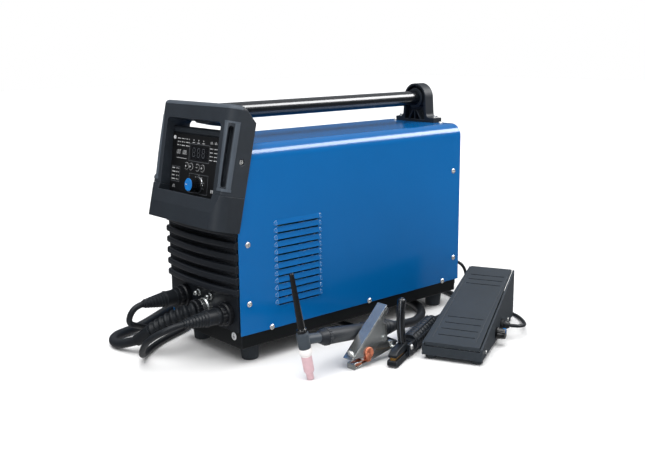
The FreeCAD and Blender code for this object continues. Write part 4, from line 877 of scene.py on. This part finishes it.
# ------------------------------ torch
TORCH_TIP, TORCH_UP = Vector((211, 48.6, 1.3)), Vector((0, -0.193, 0.981)).normalized()
HANDLE_END = Vector((181.6, 258.6, 31.6))
HANDLE_START = TORCH_TIP + TORCH_UP * 66


def make_handle_grip():
    """Raised rings on the rear half of the torch handle and a knurled collar at its front."""
    along = HANDLE_END - HANDLE_START
    reach = along.length
    rings = Shape()
    for k in range(9):
        start = reach - 84 + 7.4 * k
        rings.ring(HANDLE_START, along, [(12.2, start), (13.6, start + 0.8), (13.9, start + 2.0),
                                         (13.6, start + 3.2), (12.2, start + 4.0)], sides=36)
    rings.ring(HANDLE_START, along, [(12.6, 48), (14.2, 48.8), (14.2, 55.2), (12.6, 56)], sides=72,
               flute=fluted(18, 0.05))
    rings.done("torch_grip_rings", "grip_rubber", soft=35)


def make_cup_ring():
    """White insulating ring between the gas cup and the head, and a thin one below it."""
    shape = Shape()
    shape.ring(TORCH_TIP, TORCH_UP,
               [(8.4, 42.3), (9.0, 42.4), (10.3, 44.3), (10.4, 47.0), (10.4, 50.5), (9.6, 52.6),
                (8.4, 52.7)], sides=48)
    shape.ring(TORCH_TIP, TORCH_UP, [(8.0, 39.6), (8.7, 40.0), (8.7, 41.6), (8.0, 42.0)], sides=48)
    shape.done("cup_ring", "cup_ceramic", material=WHITE_CERAMIC, soft=50)


def make_cap_foot():
    """Knurled foot of the back cap."""
    shape = Shape()
    shape.ring(TORCH_TIP, TORCH_UP, [(7.1, 79.3), (7.9, 79.6), (7.9, 83.4), (7.1, 83.8)], sides=60,
               flute=fluted(15, 0.05))
    shape.done("back_cap_foot", "cap_plastic", soft=30)


make_handle_grip()
make_cup_ring()
make_cap_foot()


# ------------------------------ earth clamp
CLAMP_X, CLAMP_Y, CLAMP_Z = 222.0, 186.0, 39.0
JAW_FOOT, JAW_TOP = Vector((CLAMP_X, 117, 17)), Vector((CLAMP_X, 194, 92))


def hexagon(shape, base, axis, across, height):
    """Hexagonal nut or bolt head, as wide as across between its corners."""
    shape.solid(base, axis, [(across / 2, 0), (across / 2, height * 0.86), (across / 2.3, height)], sides=6)


def make_clamp_spring():
    """Torsion spring wound round the pivot pin between the lugs."""
    wire, width = 0.85, 9.6
    path = [at(CLAMP_X - width / 2 + along, CLAMP_Y + y, CLAMP_Z + z)
            for y, z, along in helix(5.1, width, 4.5, 16)]
    spring = nurbs("clamp_coil", path, bevel=wire)
    settle(spring, "zinc_steel", replaces=("clamp_spring",))


def make_clamp_hardware():
    """Bolts of the two jaws, strips under the lower contact and the braid's clamping nut."""
    run = (JAW_TOP - JAW_FOOT).normalized()
    outward = Vector((0, -run.z, run.y))
    upper = Shape()
    hexagon(upper, JAW_FOOT + run * 10 + outward * 0.2, outward, 9.0, 4.6)
    upper.turned(JAW_FOOT + run * 10, outward, [(AXLE, 4), (2.4, 4), (2.4, 8.6), (AXLE, 8.8)], sides=20)
    upper.done("upper_jaw_bolt", "screw_steel", "clamp_jaw", soft=25)
    lower = Shape()
    hexagon(lower, (CLAMP_X, 146, 4.6), (0, 0.05, -1), 8.0, 3.8)
    for x in (-5.7, 5.7):
        lower.block((CLAMP_X + x - 1.6, 124.6, 9.3), (CLAMP_X + x + 1.6, 141, 10.6))
    lower.solid((CLAMP_X - 6.6, 143.5, 14.5), RIGHT, [(3.6, 0), (3.6, 13.2)], sides=6)
    lower.done("lower_jaw_bolts", "screw_steel", soft=25, round_by=0.25)


def make_braid():
    """Round folded copper braid: plaited strands over the pad's ring, and a fold outside the jaw's cheek."""
    shape = Shape()
    strands = 18
    for offset, y, z in ((-5.7, 152, 17.6), (13.0, 151.5, 23.0)):
        centre = Vector((CLAMP_X + offset, y, z))
        for lay in (-1, 1):
            for start in angles(strands):
                rings = []
                for step in range(7):
                    share = step / 6
                    angle, radius = start + lay * 0.75 * share, 1.4 + 7.2 * share
                    middle = centre + Vector((0.35 * (step % 2 if lay > 0 else (step + 1) % 2),
                                              radius * cos(angle), radius * sin(angle)))
                    rings.append([middle + Vector((0.45 * cos(t), 0.5 * sin(t),
                                                   0.5 * cos(t + 1.6))) for t in angles(4)])
                shape.loft(rings)
    shape.turned((CLAMP_X + 10.7, 151.5, 23.0), RIGHT,
                 [(AXLE, 0), (8.4, 0.1), (9.2, 0.9), (8.7, 2.1), (AXLE, 2.4)], sides=40)
    shape.block((CLAMP_X + 3, 147, 9.2), (CLAMP_X + 12.6, 155, 12.2))
    shape.block((CLAMP_X + 10.8, 147, 11.0), (CLAMP_X + 12.6, 155, 18.0))
    shape.done("copper_braid", "contact_copper", soft=60)


make_clamp_spring()
make_clamp_hardware()
make_braid()


# ------------------------------ electrode holder
def make_holder_lever():
    """Upper jaw and the glossy curved lever, swelling towards its rounded end."""
    shape = Shape(holder)
    lever = line_of([Vector(p) for p in ((50, 0, 22), (45, 0, 36), (40.5, 0, 52), (38.5, 0, 68), (40, 0, 84),
                                         (43.5, 0, 96), (47, 0, 106.5))])
    rings = []
    for a, b in zip(lever, lever[1:]):
        share = len(rings) / (len(lever) - 2)
        along = (b - a).normalized()
        across = Vector((along.z, 0, -along.x))
        half = 8.6 - 2.4 * share + 1.6 * share ** 4
        wide = 5.9 + 1.0 * share
        tip = sqrt(max(0.05, 1 - max(0.0, (share - 0.93) / 0.07) ** 2))
        rings.append([a + across * half * tip * copysign(abs(cos(t)) ** 0.8, cos(t))
                      + Vector((0, wide * tip * copysign(abs(sin(t)) ** 0.8, sin(t)), 0))
                      for t in angles(20)])
    shape.loft(rings)
    rib = []
    for a, b in zip(lever[2:-3], lever[3:-2]):
        along = (b - a).normalized()
        across = Vector((along.z, 0, -along.x))
        rib.append([a - across * (7.4 - 2.0 * len(rib) / len(lever)) + across * p + Vector((0, q, 0))
                    for p, q in ((-1.6, -1.6), (-1.6, 1.6), (1.0, 2.4), (1.0, -2.4))])
    shape.loft(rib)
    shape.done("squeeze_lever", "lever_plastic", "holder_lever_body", replaces=("holder_lever",), soft=50)
    jaw = Shape(holder)
    side = ((1, 16.5), (45, 14.5), (66, 14.5), (66, 24), (50, 29), (14, 27), (1, 22))
    jaw.slab([(x, -7, z) for x, z in side], (0, 14, 0))
    jaw.done("upper_grip_jaw", "holder_plastic", "holder_lever_body", round_by=1.8, segments=3)
    insert = Shape(holder)
    insert.block((3, -4.5, 14.9), (46, 4.5, 16.2))
    insert.done("upper_insert", "valve_brass", "holder_lever_body", round_by=0.3)


def make_holder_trim():
    """Serrations of the brass insert, side ribs of the grip and the pivot's caps."""
    teeth = Shape(holder)
    for k in range(9):
        x = 6 + 4.6 * k
        teeth.slab([(x, -4, 13.9), (x + 2.6, -4, 13.9), (x + 1.3, -4, 14.7)], (0, 8, 0))
    teeth.done("insert_teeth", "valve_brass")
    ribs = Shape(holder)
    for k in range(8):
        angle = radians(45 * k + 22.5)
        y, z = 14.6 * cos(angle), 17 + 14.6 * sin(angle)
        if z > 3:
            ribs.turned((86, y, z), RIGHT,
                        [(AXLE, 0), (1.4, 0.6), (1.5, 6), (1.5, 104), (1.0, 107), (AXLE, 107)], sides=12)
    ribs.done("grip_ribs", "holder_plastic", soft=50)
    caps = Shape(holder)
    for side in (-1, 1):
        caps.solid((58, side * 12.0, 19), (0, side, 0), [(4.6, 0), (4.6, 1.2), (3.4, 2.2)], sides=28)
    caps.done("holder_pivot_caps", "screw_steel", soft=35)


make_holder_lever()
make_holder_trim()


# ------------------------------ foot pedal
DIAL_AT, GLAND_AT = (46.5, 110, 22), (45.4, 150, 25)
SPRING_Y = 180.0


def make_pedal_dial():
    """Fluted current dial with a blue pointer line."""
    dial = Shape(pedal)
    profile = [(AXLE, -4), (3.0, -4), (3.0, 0.5), (10, 0.5), (10.2, 1.2), (10.2, 3.0), (9.4, 3.8),
               (8.9, 14.6), (8.0, 15.9), (AXLE, 16.0)]
    dial.turned(DIAL_AT, RIGHT, profile, sides=90, flute=fluted(15, 0.08, 3.2, 15))
    dial.done("dial_knob", "cap_plastic", "dial", replaces=("pedal_dial",), soft=30)
    line = Shape(pedal)
    x, y, z = DIAL_AT
    line.block((x + 11.0, y - 1.4, z + 7.6), (x + 16.2, y + 1.4, z + 9.4))
    line.block((x + 15.9, y - 1.4, z + 1.0), (x + 16.4, y + 1.4, z + 9.2))
    line.done("dial_pointer", "knob_plastic", "dial", round_by=0.3)


def make_pedal_trim():
    """Locknut of the cable gland, and the screws of both side walls."""
    nut = Shape(pedal)
    x, y, z = GLAND_AT
    hexagon(nut, (x + 0.4, y, z), RIGHT, 20.5, 4.2)
    nut.done("gland_locknut", "gland_nylon", soft=25, round_by=0.3)
    screws = Shape(pedal)
    for y in (30, 215):
        reach = 49.4 - 7.5 * y / 264  # the base narrows towards its rear
        for side in (1, -1):
            screws.solid((side * reach, y, 15), (side, 0, 0), [(3.0, 0), (2.8, 1.1), (1.6, 1.5)], sides=20)
    screws.done("pedal_screws", "screw_steel", soft=50)


def make_return_spring():
    """Coil spring under the treadle, standing in the base."""
    wire, low, high = 0.8, 12.0, 66.0
    path = [pedal(x, SPRING_Y + y, low + along) for x, y, along in helix(7.0, high - low, 7.5, 20)]
    spring = Shape(metres)
    spring.loft(sleeve(path, lambda walked: wire, step=0.0012, sides=10))
    coil = spring.done("return_spring", "zinc_steel", replaces=("pedal_spring",), soft=60)
    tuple(pedal(0, SPRING_Y, low - wire))
    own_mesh(coil)


make_pedal_dial()
make_pedal_trim()
make_return_spring()


# ------------------------------ floor and light
def make_stage():
    """Pale floor just under the object; mirrors don't show it."""
    half, depth = 9, -0.0002
    mesh = bpy.data.meshes.new("floor")
    mesh.from_pydata([(x * half, y * half, depth) for x, y in ((-1, -1), (1, -1), (1, 1), (-1, 1))], [],
                     [(0, 1, 2, 3)])
    floor = new_object("floor", mesh)
    paint = bpy.data.materials.new("floor")
    paint.use_nodes = True
    shader = paint.node_tree.nodes["Principled BSDF"]
    shader.inputs["Base Color"].default_value = (0.93, 0.93, 0.93, 1)
    shader.inputs["Roughness"].default_value = 0.7
    shader.inputs["Specular IOR Level"].default_value = 0.2
    mesh.materials.append(paint)
    floor.visible_glossy = False


def area_light(name, place, target, size, watts, along=UP, only_gloss=False):
    """Soft box; size is its length in the direction of along, then its width."""
    light = bpy.data.lights.new(name, "AREA")
    light.shape = "RECTANGLE"
    light.size, light.size_y = size
    light.energy = watts
    obj = new_object(name, light)
    back = (Vector(place) - Vector(target)).normalized()
    length = (Vector(along) - back * back.dot(Vector(along))).normalized()
    obj.matrix_world = pose_of(place, length, back.cross(length), back)
    obj.visible_diffuse = not only_gloss


def make_world():
    """White studio: light from above, and a dark horizon for what mirrors it."""
    world = bpy.data.worlds.new("studio")
    world.use_nodes = True
    nodes, links = world.node_tree.nodes, world.node_tree.links
    facing = nodes.new("ShaderNodeSeparateXYZ")
    height = facing.outputs["Z"]
    links.new(nodes.new("ShaderNodeTexCoord").outputs["Generated"], facing.inputs["Vector"])
    level = nodes.new("ShaderNodeMapRange")
    level.inputs["From Min"].default_value = -1.0
    links.new(height, level.inputs["Value"])
    tone = add_ramp(world.node_tree, height, (0.0, (0.10, 0.105, 0.115, 1)), (0.9, (1, 1, 1, 1)))
    mirrored = add_ramp(world.node_tree, level.outputs["Result"], (0.0, (0.55, 0.55, 0.55, 1)),
                        (1.0, (0.75, 0.78, 0.82, 1)), (0.5, (0.05, 0.055, 0.065, 1)))
    for ray, above in (("Is Glossy Ray", mirrored), ("Is Camera Ray", (1, 1, 1, 1))):
        rays = nodes.new("ShaderNodeLightPath")
        tone = add_choice(world.node_tree, rays.outputs[ray], tone, above)
    nodes["Background"].inputs["Strength"].default_value = 1.0
    links.new(tone, nodes["Background"].inputs["Color"])
    bpy.context.scene.world = world
    bpy.context.scene.view_settings.view_transform = "Standard"


def make_sun(angle, energy, direction):
    """Wide, soft sun; angle is in degrees, direction points towards it."""
    light = bpy.data.lights.new("soft_sun", "SUN")
    light.angle = radians(angle)
    light.energy = energy
    obj = new_object("soft_sun", light)
    obj.matrix_world = Vector(direction).to_track_quat("Z", "Y").to_matrix().to_4x4()


make_stage()
make_world()
make_sun(60, 2.45, (0.16, -0.24, 0.96))
area_light("side_strip", (2.4, 0.3, 1.9), (0, 0.1, 0.25), (2.4, 0.35), 8)
area_light("bend_box", (1.33, 2.1, 2.2), (0.1, 0.25, 0.35), (1.3, 2.0), 120, (0.82, 0, -0.57), True)
area_light("front_box", (0.6, -2.6, 1.2), (0, 0, 0.2), (1.6, 0.3), 16, only_gloss=True)
